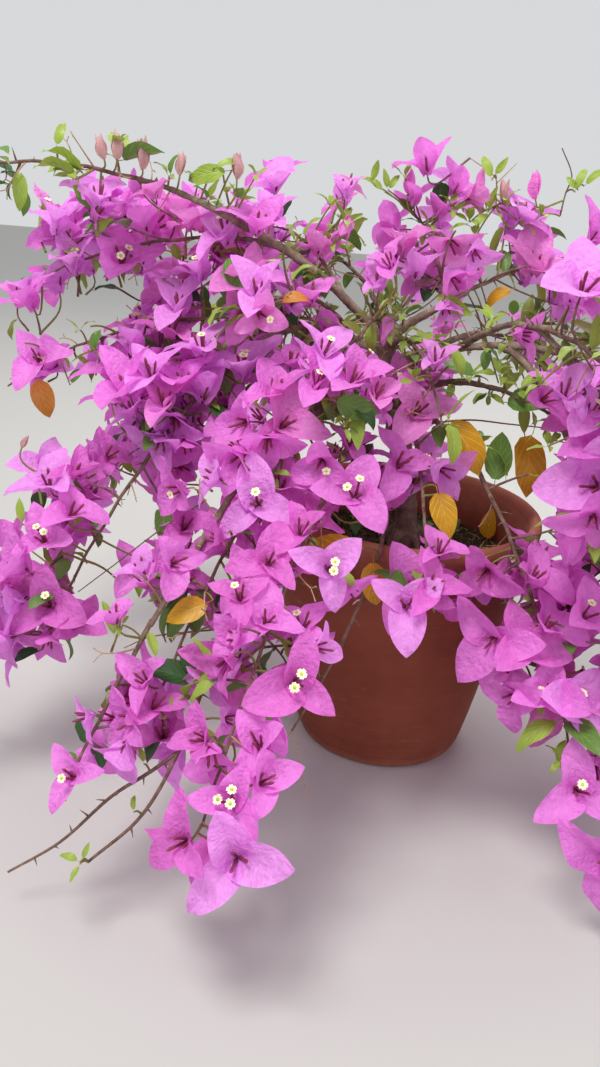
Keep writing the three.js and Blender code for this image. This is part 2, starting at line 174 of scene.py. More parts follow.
# What the front view shows, in pixels of a 600 by 1067 frame.
# Each bloom: across, down, length of its bracts, then in degrees the way that its axis points in the frame
# (0 right, 90 up), how far it faces the viewer and where one bract points, and its number of open stars.
FRONT_BLOOMS = (
    (60, 222, 32, 70, 40, 130, 0), (100, 196, 25, 80, 20, 150, 0), (145, 222, 34, 95, 30, 160, 0),
    (125, 258, 38, 60, 60, 250, 2), (75, 262, 31, 100, 45, 20, 1), (30, 300, 27, 110, 30, 190, 0),
    (40, 357, 32, 90, 70, 120, 0), (190, 220, 27, 95, 25, 20, 0), (225, 230, 31, 100, 30, 160, 1),
    (262, 224, 33, 60, 40, 10, 0), (275, 182, 29, 85, 25, 160, 0), (155, 190, 22, 100, 20, 20, 0),
    (345, 191, 19, 90, 20, 160, 0), (320, 247, 23, 80, 30, 20, 0), (200, 268, 31, 95, 20, 200, 2),
    (258, 288, 37, 90, 45, 25, 0), (310, 294, 27, 90, 20, 150, 0), (262, 318, 29, 300, 60, 330, 1),
    (180, 302, 31, 90, 10, 200, 0), (135, 342, 31, 90, 20, 190, 1), (174, 328, 29, 70, 20, 340, 0),
    (201, 344, 28, 95, 15, 20, 1), (243, 364, 38, 92, 32, 35, 2), (325, 348, 30, 70, 30, 10, 1),
    (318, 380, 33, 75, 35, 20, 1), (356, 377, 29, 60, 20, 330, 0), (377, 393, 22, 60, 20, 340, 0),
    (128, 384, 35, 100, 25, 190, 0), (112, 368, 29, 95, 20, 200, 0), (152, 370, 30, 90, 20, 20, 0),
    (184, 379, 31, 95, 15, 190, 0), (205, 390, 29, 80, 20, 10, 0), (165, 398, 28, 90, 15, 200, 0),
    (130, 408, 27, 120, 20, 210, 0), (176, 425, 32, 280, 40, 210, 0), (162, 445, 28, 265, 20, 220, 0),
    (187, 448, 28, 285, 20, 330, 0), (240, 425, 32, 200, 50, 190, 0), (290, 422, 46, 30, 55, 350, 0),
    (276, 388, 35, 80, 30, 150, 0), (268, 446, 33, 270, 40, 320, 0), (418, 408, 38, 60, 60, 110, 0),
    (405, 460, 40, 40, 50, 10, 0), (446, 474, 33, 320, 50, 280, 0), (355, 490, 42, 90, 65, 60, 2),
    (386, 502, 27, 0, 20, 300, 0), (320, 466, 35, 250, 60, 330, 1), (350, 441, 21, 60, 30, 20, 0),
    (258, 500, 44, 90, 75, 95, 1), (240, 462, 34, 240, 40, 100, 0), (212, 476, 30, 150, 30, 200, 0),
    (176, 492, 33, 200, 40, 100, 1), (188, 522, 33, 60, 40, 30, 0), (180, 561, 35, 20, 50, 250, 0),
    (142, 567, 25, 100, 20, 200, 0), (214, 538, 29, 150, 30, 100, 0), (272, 558, 39, 60, 60, 190, 0),
    (240, 592, 30, 90, 50, 150, 1), (330, 566, 40, 60, 75, 275, 2), (302, 525, 32, 80, 40, 20, 0),
    (267, 614, 40, 80, 55, 330, 0), (234, 634, 35, 150, 45, 250, 0), (299, 680, 49, 20, 75, 75, 2),
    (224, 664, 32, 220, 30, 100, 0), (322, 648, 27, 0, 20, 60, 0), (258, 737, 37, 100, 45, 10, 0),
    (142, 675, 32, 120, 40, 200, 0), (128, 720, 36, 190, 50, 100, 0), (122, 754, 31, 260, 40, 330, 0),
    (86, 715, 21, 180, 30, 240, 0), (158, 700, 30, 60, 30, 340, 0), (198, 735, 36, 150, 40, 340, 0),
    (212, 754, 29, 280, 40, 330, 0), (72, 771, 33, 110, 60, 250, 1), (180, 838, 44, 165, 62, 95, 0),
    (230, 796, 42, 100, 60, 175, 3), (238, 852, 60, 85, 78, 112, 0), (268, 776, 36, 40, 40, 20, 0),
    (50, 478, 36, 90, 45, 200, 0), (81, 470, 27, 60, 20, 100, 0), (76, 507, 31, 60, 30, 10, 0),
    (44, 535, 33, 100, 60, 340, 2), (20, 562, 35, 130, 40, 200, 0), (52, 602, 38, 80, 75, 90, 1),
    (12, 600, 33, 180, 40, 250, 0), (84, 620, 30, 0, 30, 280, 0), (50, 642, 29, 270, 30, 200, 0),
    (6, 640, 31, 200, 40, 100, 0), (112, 455, 20, 30, 20, 120, 0), (116, 617, 16, 90, 20, 200, 0),
    (405, 602, 43, 100, 70, 270, 0), (434, 582, 37, 60, 50, 110, 0), (440, 546, 25, 80, 30, 20, 0),
    (480, 575, 37, 220, 50, 350, 0), (535, 573, 37, 60, 40, 175, 0), (484, 640, 46, 190, 55, 120, 0),
    (521, 640, 39, 90, 60, 340, 0), (549, 621, 38, 60, 40, 10, 0), (586, 612, 36, 60, 60, 90, 1),
    (506, 698, 35, 200, 40, 260, 0), (545, 688, 35, 120, 50, 200, 1), (572, 700, 42, 60, 65, 55, 1),
    (575, 785, 48, 90, 75, 90, 1), (602, 860, 50, 180, 40, 250, 0), (581, 284, 52, 90, 60, 210, 0),
    (530, 260, 41, 100, 40, 200, 0), (594, 234, 32, 60, 40, 170, 0), (524, 337, 27, 340, 30, 20, 0),
    (563, 388, 33, 90, 40, 160, 0), (590, 412, 36, 60, 30, 190, 1), (584, 486, 50, 175, 50, 175, 0),
    (596, 446, 42, 120, 50, 200, 0), (588, 524, 40, 240, 50, 200, 0), (425, 163, 29, 100, 30, 50, 0),
    (414, 196, 23, 90, 10, 200, 0), (440, 208, 22, 70, 20, 340, 0), (456, 186, 27, 70, 20, 30, 0),
    (474, 197, 25, 20, 20, 340, 0), (405, 240, 31, 80, 25, 40, 0), (388, 262, 25, 120, 20, 200, 0),
    (416, 268, 28, 85, 20, 10, 0), (452, 248, 27, 290, 20, 330, 0), (474, 258, 26, 280, 20, 320, 0),
    (455, 284, 27, 300, 30, 200, 0), (378, 283, 21, 90, 20, 160, 0), (436, 357, 24, 90, 10, 170, 0),
    (446, 312, 26, 280, 20, 200, 0), (524, 214, 26, 60, 20, 170, 0),
)
# Closed buds: across, down, length, the way that they point, and the tint
FRONT_BUDS = (
    (117, 158, 22, 85, "salmon"), (143, 168, 26, 90, "salmon"), (180, 174, 18, 80, "salmon"),
    (237, 178, 22, 90, "salmon"), (104, 158, 20, 105, "salmon"), (350, 216, 24, 250, "rose"),
    (388, 318, 28, 260, "rose"), (535, 198, 22, 90, "rose"), (503, 200, 18, 90, "salmon"),
    (22, 447, 12, 60, "salmon"), (408, 192, 20, 80, "rose"),
)
# Single leaves: where the stalk ends and where the tip is, and the tint
FRONT_LEAVES = (
    (446, 414, 478, 466, "yellow"), (524, 426, 530, 488, "yellow"), (436, 486, 448, 530, "yellow"),
    (373, 556, 375, 600, "yellow"), (364, 548, 310, 551, "yellow"), (213, 600, 172, 618, "yellow"),
    (214, 672, 240, 702, "yellow"), (35, 374, 48, 412, "brown"), (200, 682, 152, 672, "dark"),
    (199, 678, 184, 651, "dark"), (515, 288, 488, 304, "yellow"), (432, 293, 466, 312, "young"),
    (500, 402, 548, 404, "green"), (480, 376, 440, 368, "green"), (278, 303, 306, 298, "brown"),
    (232, 170, 188, 176, "young"), (214, 168, 236, 160, "young"), (74, 165, 52, 172, "young"),
    (56, 148, 62, 122, "young"), (282, 335, 292, 300, "dark"), (352, 405, 374, 425, "dark"),
    (330, 400, 372, 412, "green"), (228, 398, 222, 376, "green"), (240, 402, 262, 394, "young"),
    (385, 192, 368, 180, "young"), (388, 190, 398, 176, "young"), (388, 190, 384, 172, "young"),
    (492, 180, 484, 156, "young"), (494, 176, 506, 160, "young"), (575, 192, 584, 168, "young"),
    (578, 190, 568, 178, "young"), (584, 186, 602, 170, "young"), (176, 712, 172, 694, "young"),
    (144, 764, 140, 748, "young"), (80, 862, 62, 852, "young"), (82, 860, 88, 845, "young"),
    (80, 864, 72, 880, "young"), (134, 812, 132, 796, "young"), (22, 524, 20, 502, "young"),
    (70, 385, 82, 370, "green"), (92, 352, 98, 332, "green"),
)
# Tufts of young leaves: across, down, number of leaves and their length
FRONT_TUFTS = (
    (372, 182, 4, 18), (404, 176, 3, 16), (452, 210, 5, 20), (470, 222, 5, 22), (488, 212, 5, 22),
    (506, 206, 5, 20), (522, 226, 4, 18), (540, 216, 4, 18), (430, 226, 4, 18), (476, 236, 4, 20),
    (388, 300, 5, 20), (404, 340, 5, 20), (384, 330, 4, 18), (414, 380, 4, 22), (470, 378, 4, 24),
    (500, 376, 5, 24), (520, 390, 4, 20), (540, 384, 4, 20), (330, 206, 5, 18), (346, 222, 5, 20),
    (332, 244, 4, 18), (282, 226, 3, 16), (296, 242, 4, 18), (316, 320, 3, 18), (80, 330, 3, 16),
    (96, 352, 3, 18), (256, 176, 3, 16), (210, 402, 4, 18), (262, 408, 3, 18), (146, 320, 3, 14),
    (560, 432, 4, 20), (548, 446, 4, 20), (344, 428, 4, 20), (196, 700, 3, 18), (560, 760, 3, 18),
    (122, 625, 3, 14),
)
# Leaves that stand or lie on the soil: place in millimetres, tint, length, azimuth and rise in degrees
SOIL_LEAVES = (
    (-10, 26, "dark", 26, 200, 25), (4, 30, "dark", 28, 320, 30), (16, 22, "green", 24, 20, 35),
    (30, 34, "dark", 26, 290, 28), (-22, 40, "green", 24, 150, 20), (40, 26, "dark", 22, 350, 22),
    (62, 48, "green", 18, 80, 40), (92, 34, "yellow", 34, 70, 74), (70, 8, "yellow", 26, 250, 4),
    (-50, -30, "brown", 30, 120, 3), (-40, 60, "yellow", 28, 30, 4), (20, -70, "brown", 26, 200, 3),
    (-70, 20, "green", 22, 100, 30),
)
# Bare canes: width in millimetres, then points as across, down and depth behind the pot's axis
BARE_CANES = (
    (3.4, ((384, 528, -118), (378, 560, -136), (356, 612, -150), (331, 664, -158), (292, 731, -168))),
    (1.3, ((292, 731, -168), (300, 764, -168), (307, 797, -170))),
    (1.2, ((292, 731, -168), (276, 744, -170), (244, 768, -172))),
    (3.6, ((214, 640, -196), (206, 678, -226), (179, 750, -262), (142, 815, -288), (88, 862, -300))),
    (3.0, ((178, 752, -262), (150, 772, -268), (112, 796, -272), (60, 842, -280), (8, 872, -286))),
    (1.6, ((206, 500, -120), (160, 530, -110), (118, 562, -108), (78, 592, -110))),
    (1.8, ((182, 424, -70), (142, 446, -72), (112, 468, -76), (84, 494, -80))),
    (1.4, ((212, 630, -190), (180, 633, -192), (150, 637, -196), (124, 648, -198))),
    (1.9, ((424, 424, -20), (470, 420, -10), (508, 424, -6), (556, 429, -4))),
    (1.4, ((496, 206, 40), (496, 190, 40), (496, 178, 40), (470, 158, 40))),
    (1.3, ((496, 184, 40), (504, 176, 40), (517, 163, 40))),
    (1.6, ((560, 216, 40), (566, 192, 40), (572, 176, 40), (562, 148, 40))),
    (1.7, ((572, 330, -230), (582, 352, -232), (594, 372, -230))),
    (1.3, ((498, 545, 16), (510, 532, 22), (524, 518, 30))),
    (1.0, ((524, 518, 30), (526, 514, 30), (525, 509, 32))),
    (1.0, ((524, 518, 30), (530, 520, 30), (535, 518, 30))),
    (1.2, ((486, 546, 16), (512, 545, 8), (546, 540, -4))),
)
# Views that stay bare of leaves too: middle across and down, half width and half height
BARE_VIEWS = (
    (68, 318, 24, 24), (46, 410, 58, 26), (208, 484, 16, 20), (38, 694, 44, 34), (20, 800, 40, 60),
    (405, 700, 76, 72), (350, 655, 18, 34), (480, 510, 62, 22), (529, 458, 15, 32), (300, 860, 60, 110),
    (420, 860, 130, 92),
)
CAMERA = {
    "place": (-98.943, -771.575, 511.417),
    "pitch": 21.5795,
    "roll": 4.6577,
    "lens": 28.47,
    "sensor_height": 36,
    "frame": (600, 1067),
}

UP = np.array((0.0, 0.0, 1.0))
TURN = 2 * math.pi


def linear(hex_colour):
    """An sRGB hex colour as linear red, green and blue."""
    channels = [int(hex_colour[i : i + 2], 16) / 255 for i in (1, 3, 5)]
    return tuple(c / 12.92 if c <= 0.04045 else ((c + 0.055) / 1.055) ** 2.4 for c in channels)


def mix(low, high, share):
    return low + (high - low) * share


def unit(vector):
    return vector / np.linalg.norm(vector)


def outward_of(place):
    """The level direction from the pot's axis to a place."""
    return unit(place * (1, 1, 0))


def smooth_step(low, high, value):
    share = min(1, max(0, (value - low) / (high - low)))
    return share * share * (3 - 2 * share)


# Settings

def length_setting(name, description, default, least):
    return FloatProperty(name=name, description=description, default=default, min=least, unit="LENGTH")


def density_setting(name, description, default):
    return FloatProperty(name=name, description=description, default=default, min=0)


def count_setting(name, description, default, least):
    return IntProperty(name=name, description=description, default=default, min=least)


def colour_setting(name, description, hex_colour):
    colour = linear(hex_colour)
    return FloatVectorProperty(name=name, description=description, default=colour, size=3, subtype="COLOR")


class BloomSettings(bpy.types.PropertyGroup):
    """Sizes of the bracts and of the small flowers inside them."""

    bract_length: length_setting("Bract Length", "Length of a full bract", 0.045, 0.02)
    bract_width: length_setting("Bract Width", "Width of a full bract", 0.0305, 0.01)
    tube_length: length_setting("Tube Length", "Length of a flower's tube", 0.021, 0.01)
    star_width: length_setting("Star Width", "Width of an open flower's star", 0.0084, 0.004)
    leaf_length: length_setting("Leaf Length", "Length of a full leaf", 0.042, 0.02)
    leaf_width: length_setting("Leaf Width", "Width of a full leaf", 0.022, 0.01)


class WoodSettings(bpy.types.PropertyGroup):
    """Sizes of the bark's relief and of the twigs."""

    voxel: length_setting("Voxel", "Grid that joins the limbs", 0.0012, 0.0006)
    furrow_depth: length_setting("Furrow Depth", "Depth of the bark's furrows", 0.0007, 0)
    twig_sides: count_setting("Twig Sides", "Sides of a twig", 6, 3)


class PotSettings(bpy.types.PropertyGroup):
    """Sizes of the clay pot and of what lies on its soil."""

    segments: count_setting("Segments", "Faces round the pot", 168, 24)
    ring_depth: length_setting("Ring Depth", "Depth of the throwing rings", 0.00022, 0)
    crumb_density: density_setting("Crumb Density", "Soil crumbs on a square metre", 42000)
    moss_density: density_setting("Moss Density", "Moss tufts on a square metre", 26000)
    straw_density: density_setting("Straw Density", "Tufts of dry grass on a square metre", 3600)


class ColourSettings(bpy.types.PropertyGroup):
    """Plain colours of the plant, dealt out by spray; the light and deep bracts are the orchid bracts as lit
    and as shaded, a painted sunlight and a painted shade.
    """

    orchid: colour_setting("Orchid", "Most bracts", "#EE86E4")
    # Painted sunlight: bracts made paler as if the sun fell on them
    light: colour_setting("Light", "Sunlit bracts", "#F09CF0")
    # Painted shade: bracts made darker as if they stood in shade
    deep: colour_setting("Deep", "Shaded bracts", "#E476D4")
    rose: colour_setting("Rose", "Young bracts", "#EC8EDA")
    salmon: colour_setting("Salmon", "Bracts in bud", "#D0A6A4")
    young_leaf: colour_setting("Young Leaf", "Leaves at the tips", "#9AB444")
    green_leaf: colour_setting("Green Leaf", "Full-grown leaves", "#648C36")
    dark_leaf: colour_setting("Dark Leaf", "Old green leaves", "#33602A")
    yellow_leaf: colour_setting("Yellow Leaf", "Leaves about to fall", "#D3A018")
    brown_leaf: colour_setting("Brown Leaf", "Dying leaves", "#CE8A2C")


class BushSettings(bpy.types.PropertyGroup):
    """All settings of the bush."""

    bloom: PointerProperty(type=BloomSettings, name="Bloom", description="Sizes of blooms and leaves")
    wood: PointerProperty(type=WoodSettings, name="Wood", description="Sizes of the bark's relief")
    pot: PointerProperty(type=PotSettings, name="Pot", description="Sizes of the pot")
    colour: PointerProperty(type=ColourSettings, name="Colour", description="Colours of the plant")


# The rule of growth, as the solids follow it

class SourceRandom:
    """The generator of the solids: its numbers depend only on the seed."""

    modulus = 2147483647
    step = 16807
    seed_step = 7919
    seed_start = 104729

    def __init__(self, seed):
        self.state = 1 + (seed * self.seed_step + self.seed_start) % (self.modulus - 1)
        self.next()
        self.next()

    def next(self):
        self.state = self.state * self.step % self.modulus
        return self.state / self.modulus


class Curve:
    """A cubic Bezier curve."""

    tangent_step = 0.0001
    length_steps = 200

    def __init__(self, *handles):
        self.handles = np.array(handles, float)

    def point(self, share):
        rest = 1 - share
        weights = (rest**3, 3 * rest * rest * share, 3 * rest * share * share, share**3)
        return np.dot(weights, self.handles)

    def tangent(self, share):
        before = max(share - self.tangent_step, 0)
        after = min(share + self.tangent_step, 1)
        return unit(self.point(after) - self.point(before))

    def length(self):
        points = np.array([self.point(i / self.length_steps) for i in range(self.length_steps + 1)])
        return float(np.linalg.norm(np.diff(points, axis=0), axis=1).sum())


def level_across(start, end):
    """A level direction across a run from one point to another."""
    across = np.cross(UP, end - start)
    return unit(across) if np.linalg.norm(across) > 1 else np.array((0.0, 1.0, 0.0))


def cross_axes(direction, sideways):
    """Two axes across a direction."""
    other = unit(sideways - direction * np.dot(sideways, direction))
    return np.cross(direction, other), other


@dataclass
class Cane:
    """A cane of the rule: its bough, its leafy stem and the nodes that claim the space round it."""

    name: str
    index: int
    level: int
    curve: Curve
    leafy: float
    spread: float
    leafy_share: float
    nodes: np.ndarray

    @property
    def size(self):
        return BLADE_SCALE.get(self.name, 1)

    @property
    def green(self):
        return GREEN_SHARE.get(self.name, LEAFY_SHOOTS)

    def radius(self, share):
        if share < self.leafy_share:
            return mix(BOUGH_RADIUS[self.level], LEAFY_RADIUS, share / self.leafy_share)
        return mix(LEAFY_RADIUS, STEM_TIP_RADIUS, (share - self.leafy_share) / (1 - self.leafy_share))


@dataclass
class Shoot:
    """A side shoot that the rule placed, with the axis and the turn of what its end carries."""

    cane: Cane
    share: float
    start: np.ndarray
    end: np.ndarray
    direction: np.ndarray
    axis: np.ndarray
    turn: float
    is_leafy: bool


def trunk_curve():
    foot = np.array(TRUNK["foot"], float)
    fork = np.array(TRUNK["fork"], float)
    rise = UP * TRUNK["rise"]
    over = np.array((fork[0] * TRUNK["sweep"], fork[1] * TRUNK["sweep"], fork[2] - TRUNK["rise"]))
    return Curve(foot, foot + rise + UP * (SOIL_HEIGHT - foot[2]), over, fork)


def trunk_radius(share):
    flare = max(0, 1 - share / TRUNK["flare_share"]) ** 2
    stem = mix(TRUNK["stem_radius"], TRUNK["fork_radius"], share)
    return stem + (TRUNK["flare_radius"] - TRUNK["stem_radius"]) * flare


def grow_cane(row, index, start, level):
    name, _, _, (azimuth, reach, height), arch, leafy, spread = row
    angle = math.radians(azimuth)
    tip = np.array((reach * math.cos(angle), reach * math.sin(angle), height))
    inner = start + (tip - start) * BEND["inner"] + UP * arch
    outer = start + (tip - start) * BEND["outer"] + UP * arch * BEND["outer_arch"]
    curve = Curve(start, inner, outer, tip)
    leafy_share = 1 - leafy / curve.length()
    count = math.floor(leafy / SPACE["node_gap"] + 0.5)
    nodes = [curve.point(mix(leafy_share, 1, (i + 0.5) / count)) for i in range(count)]
    return Cane(name, index, level, curve, leafy, spread, leafy_share, np.array(nodes))


def grow_canes():
    """All canes in the order of the list, each grown after its parent."""
    trunk = trunk_curve()
    grown = {}
    waiting = list(enumerate(CANES))
    while waiting:
        index, row = waiting.pop(0)
        name, parent_name, share = row[:3]
        if parent_name == "trunk":
            grown[name] = grow_cane(row, index, trunk.point(share), 0)
        elif parent_name in grown:
            parent = grown[parent_name]
            grown[name] = grow_cane(row, index, parent.curve.point(share), parent.level + 1)
        else:
            waiting.append((index, row))
    return [grown[row[0]] for row in CANES]


class Room:
    """Places that are taken, each with an owner and the clearance that it asks of its own and of others."""

    capacity = 120000

    def __init__(self, canes):
        self.canes = canes
        self.places = np.empty((self.capacity, 3))
        self.owners = np.empty(self.capacity, int)
        self.own = np.empty(self.capacity)
        self.neighbour = np.empty(self.capacity)
        self.count = 0
        self.nodes = np.concatenate([cane.nodes for cane in canes])
        self.node_owners = np.concatenate([[cane.index] * len(cane.nodes) for cane in canes])
        self.add_wood()

    def add(self, points, owner, own, neighbour):
        rows = slice(self.count, self.count + len(points))
        self.places[rows] = points
        self.owners[rows] = owner
        self.own[rows] = own
        self.neighbour[rows] = neighbour
        self.count += len(points)

    def follow(self, curve, radius, start, end, owner):
        count = math.ceil(curve.length() * (end - start) / SPACE["step"])
        for i in range(count + 1):
            share = mix(start, end, i / count)
            clearance = radius(share) + SPACE["wood_margin"]
            self.add([curve.point(share)], owner, clearance if owner < 0 else 0, clearance)

    def add_wood(self):
        self.follow(trunk_curve(), trunk_radius, 0, 1, -1)
        for cane in self.canes:
            self.follow(cane.curve, cane.radius, 0, cane.leafy_share, -1)
            self.follow(cane.curve, cane.radius, cane.leafy_share, 1, cane.index)

    def is_clear(self, points, owner):
        """Whether every point is far enough from what is taken."""
        middle = points.mean(axis=0)
        near = np.abs(self.places[: self.count] - middle).max(axis=1) < SPACE["near"]
        places = self.places[: self.count][near]
        clearance = np.where(
            self.owners[: self.count][near] == owner,
            self.own[: self.count][near],
            self.neighbour[: self.count][near],
        )
        gaps = np.linalg.norm(points[:, None] - places[None], axis=2)
        return bool((gaps >= clearance).all())

    def is_own_space(self, points, cane):
        """Whether every point is over the floor, clear of the pot and in the cane's own space."""
        if is_blocked(points):
            return False
        gaps = np.linalg.norm(points[:, None] - self.nodes[None], axis=2)
        is_own = self.node_owners == cane.index
        farthest = gaps[:, is_own].min(axis=1) - SPACE["overstep"]
        return bool((gaps[:, ~is_own].min(axis=1) >= farthest).all())

    def is_free(self, points, cane):
        return self.is_own_space(points, cane) and self.is_clear(points, cane.index)


def pot_radius(height):
    radii, heights = zip(*POT_OUTLINE)
    return float(np.interp(height, heights, radii))


def is_in_pot(point):
    x, y, z = point
    if z > POT_HEIGHT + SPACE["pot"]:
        return False
    return math.hypot(x, y) < pot_radius(min(z, POT_HEIGHT)) + SPACE["pot"]


def is_blocked(points):
    """Whether any point is too near the floor or in the pot."""
    return points[:, 2].min() < SPACE["floor"] or any(is_in_pot(point) for point in points)


def shoot_at(cane, slot, slots, attempt):
    """The side shoot that a cane tries at a slot, and the points that show the room its blades take."""
    numbers = SourceRandom(cane.index * SOWING["cane_seed"] + slot * SOWING["slot_seed"] + attempt)
    is_last = slot == slots - 1
    place = (slot + SHOOT["first_place"] + SHOOT["jitter"] * numbers.next()) / (slots - SHOOT["last_place"])
    share = 1 if is_last else place
    along = mix(cane.leafy_share, 1, share)
    tangent = cane.curve.tangent(along)
    side, other = cross_axes(tangent, level_across(*cane.curve.handles[::3]))
    angle = GOLDEN_ANGLE * slot + attempt + SHOOT["jitter"] * numbers.next()
    lean = SHOOT["end_lean"] if is_last else SHOOT["lean"]
    direction = unit(side * math.cos(angle) + other * math.sin(angle) + tangent * lean + UP * SHOOT["rise"])
    taper = SHOOT["end_length"] if is_last else 1 - SHOOT["taper"] * share
    patience = mix(1, SHOOT["last_try"], attempt / SOWING["tries"])
    length = cane.spread * mix(SHOOT["shortest"], 1, numbers.next()) * taper * patience
    start = cane.curve.point(along)
    end = start + direction * length
    outward = outward_of(end)
    axis = unit(direction + outward * FACING["outward"] + UP * FACING["rise"])
    is_leafy = numbers.next() < cane.green
    turn = TURN * numbers.next()
    shoot = Shoot(cane, along, start, end, direction, axis, turn, is_leafy)
    return shoot, blade_samples(shoot, LEAF if is_leafy else BRACT, numbers)


def blade_samples(shoot, blade, numbers):
    """Points over a shoot and the three blades at its end."""
    size = shoot.cane.size
    side, other = cross_axes(shoot.axis, level_across(shoot.start, shoot.end))
    points = [mix(shoot.start, shoot.end, share) for share in (0.3, 0.5, 0.7, 0.85, 1)]
    for k in range(WHORL["blades"]):
        angle = shoot.turn + k * TURN / WHORL["blades"]
        opening = math.radians(blade["opening"] + WHORL["opening_range"] * (numbers.next() - 0.5))
        length = size * blade["length"] * mix(WHORL["shortest"], WHORL["longest"], numbers.next())
        outward = other * math.sin(angle) - side * math.cos(angle)
        across = side * math.sin(angle) + other * math.cos(angle)
        midrib = shoot.axis * math.cos(opening) + outward * math.sin(opening)
        middle = shoot.end + midrib * length * blade["widest"] + shoot.axis * blade["cup"]
        left = middle - across * size * blade["half_width"]
        right = middle + across * size * blade["half_width"]
        tip = shoot.end + midrib * length
        for share in (0.33, 0.66, 1):
            points += [mix(shoot.end, corner, share) for corner in (left, tip, right)]
            points += [mix(corner, tip, share) for corner in (left, right)]
    return np.array(points)


@functools.cache
def grow_by_rule():
    """The canes and the shoots that found room in the solids."""
    canes = grow_canes()
    room = Room(canes)
    shoots = []
    for cane in canes:
        slots = math.floor(cane.leafy * cane.spread / SOWING["area_per_shoot"] + 0.5) + SOWING["spare"]
        for slot in range(slots):
            for attempt in range(SOWING["tries"]):
                shoot, samples = shoot_at(cane, slot, slots, attempt)
                if room.is_free(samples, cane):
                    room.add(samples, cane.index, SPACE["own"], SPACE["neighbour"])
                    shoots.append(shoot)
                    break
    return canes, shoots


# The view from the front

EYE = np.array(CAMERA["place"])
FOCAL = CAMERA["lens"] / CAMERA["sensor_height"] * CAMERA["frame"][1]


def camera_turn():
    down = Matrix.Rotation(math.radians(90 - CAMERA["pitch"]), 4, "X")
    return down @ Matrix.Rotation(math.radians(CAMERA["roll"]), 4, "Z")


@functools.cache
def view_matrix():
    return np.array(camera_turn().to_3x3().transposed(), float)


def in_frame(points):
    """Where points in millimetres stand in the frame: pixels across and down, and depth in millimetres."""
    width, height = CAMERA["frame"]
    x, y, z = view_matrix() @ (np.atleast_2d(points) - EYE).T
    return width / 2 - FOCAL * x / z, height / 2 + FOCAL * y / z, -z


def is_seen(across, down):
    width, height = CAMERA["frame"]
    return (across > 0) & (across < width) & (down > 0) & (down < height)


def from_screen(angle, facing=0):
    """A direction from its angle in the frame and how far it faces the viewer, both in degrees."""
    angle, facing = math.radians(angle), math.radians(facing)
    seen = (math.cos(angle) * math.cos(facing), math.sin(angle) * math.cos(facing), math.sin(facing))
    return view_matrix().T @ seen


def ray_through(across, down):
    """The direction from the camera through a pixel."""
    width, height = CAMERA["frame"]
    return unit(view_matrix().T @ ((across - width / 2) / FOCAL, (height / 2 - down) / FOCAL, -1))


def at_plane(across, down, y):
    """The point seen at a pixel that stands y millimetres behind the pot's axis."""
    ray = ray_through(across, down)
    return EYE + ray * (y - EYE[1]) / ray[1]


def at_depth(across, down, place):
    """The point seen at a pixel that is as far from the camera as place is."""
    return EYE + ray_through(across, down) * np.linalg.norm(place - EYE)


def true_size(length, place):
    """The size in millimetres of what is length pixels long in the frame and stands at place."""
    return length * np.linalg.norm(place - EYE) / FOCAL


class FrontView:
    """Keeps what grows by the rule from hiding the blooms that the front view shows, or filling its gaps."""

    # Shares of a shown bloom's length that others keep off by, off a large one, off its heart, and leaves
    reach = 1.0
    reach_of_large = 0.78
    heart = 0.7
    leaf_reach = 0.75
    # Length in pixels of a large bloom, and how far in millimetres a thing may stand behind one it hides
    large = 40
    margin = 8
    # Share of a bloom that may stand out in the open
    most_open = 0.12

    def __init__(self):
        self.rows = []

    def add(self, place, length):
        across, down, depth = in_frame(place)
        self.rows.append((across[0], down[0], depth[0], length))

    def gaps(self, points):
        across, down, depth = in_frame(points)
        rows = np.array(self.rows)
        gaps = np.hypot(across[:, None] - rows[:, 0], down[:, None] - rows[:, 1]) / rows[:, 3]
        return gaps, is_seen(across, down), depth[:, None] < rows[:, 2] + self.margin

    def allows_bloom(self, samples):
        gaps, is_shown, is_before = self.gaps(samples)
        if not is_shown.any():
            return True
        gaps, is_before = gaps[is_shown], is_before[is_shown]
        if ((gaps < self.heart) & is_before).any() or self.is_in_bare_view(samples):
            return False
        lengths = np.array(self.rows)[:, 3]
        reach = np.where(lengths > self.large, self.reach_of_large, self.reach)
        return (gaps > reach).all(axis=1).mean() < self.most_open

    def allows_leaf(self, samples):
        gaps, is_shown, is_before = self.gaps(samples)
        is_hiding = (gaps < self.leaf_reach) & is_before & is_shown[:, None]
        return not is_hiding.any() and not self.is_in_bare_view(samples)

    def is_in_bare_view(self, samples):
        across, down, _ = in_frame(samples)
        return any(
            (((across - middle_x) / half_width) ** 2 + ((down - middle_y) / half_height) ** 2 < 1).any()
            for middle_x, middle_y, half_width, half_height in BARE_VIEWS
        )


# The finer plant

@dataclass
class Placed:
    """One copy of a shape: its place in millimetres, its axes as columns, its size and which shape."""

    place: np.ndarray
    axes: np.ndarray
    size: float
    shape: int


BLOOM_GAP = 3.2
LEAF_GAP = 3
# Owners in the room: what is placed, and for whom the room is asked; a leaf asks as the first cane would
PLACED = -1
NEW_BLOOM = -2
NEW_LEAF = 0
COMPANION_TRIES = 30
SIDE_TRIES = 9
# Share of a bract's length from a bloom's root to the middle that it shows from the side
MIDDLE_SHARE = 0.42
# Every bloom faces the viewer at least so far, in degrees, so that its tubes show
LEAST_FACING = 30
# Limbs in the scene: share of the rule's radius, and millimetres from ring to ring
LIMB_SHARE = 0.72
RING_STEP = 2.2
# Lengths in millimetres that a bract, a leaf and a tuft's leaf of size 1 show in the frame
FRONT_BRACT = 42
FRONT_LEAF = 40
TUFT_LEAF = 46
BUD_SIZE = 0.72
# Clumps out of the front view: their size in millimetres and the least noise in them
CLUMP_SIZE = 52
CLUMP_LEAST = -0.1
# How far bracts may stand out of the solids' box
REACH = np.array(CAD_BOX, float) + np.array(((-0.014,) * 3, (0.014,) * 3))
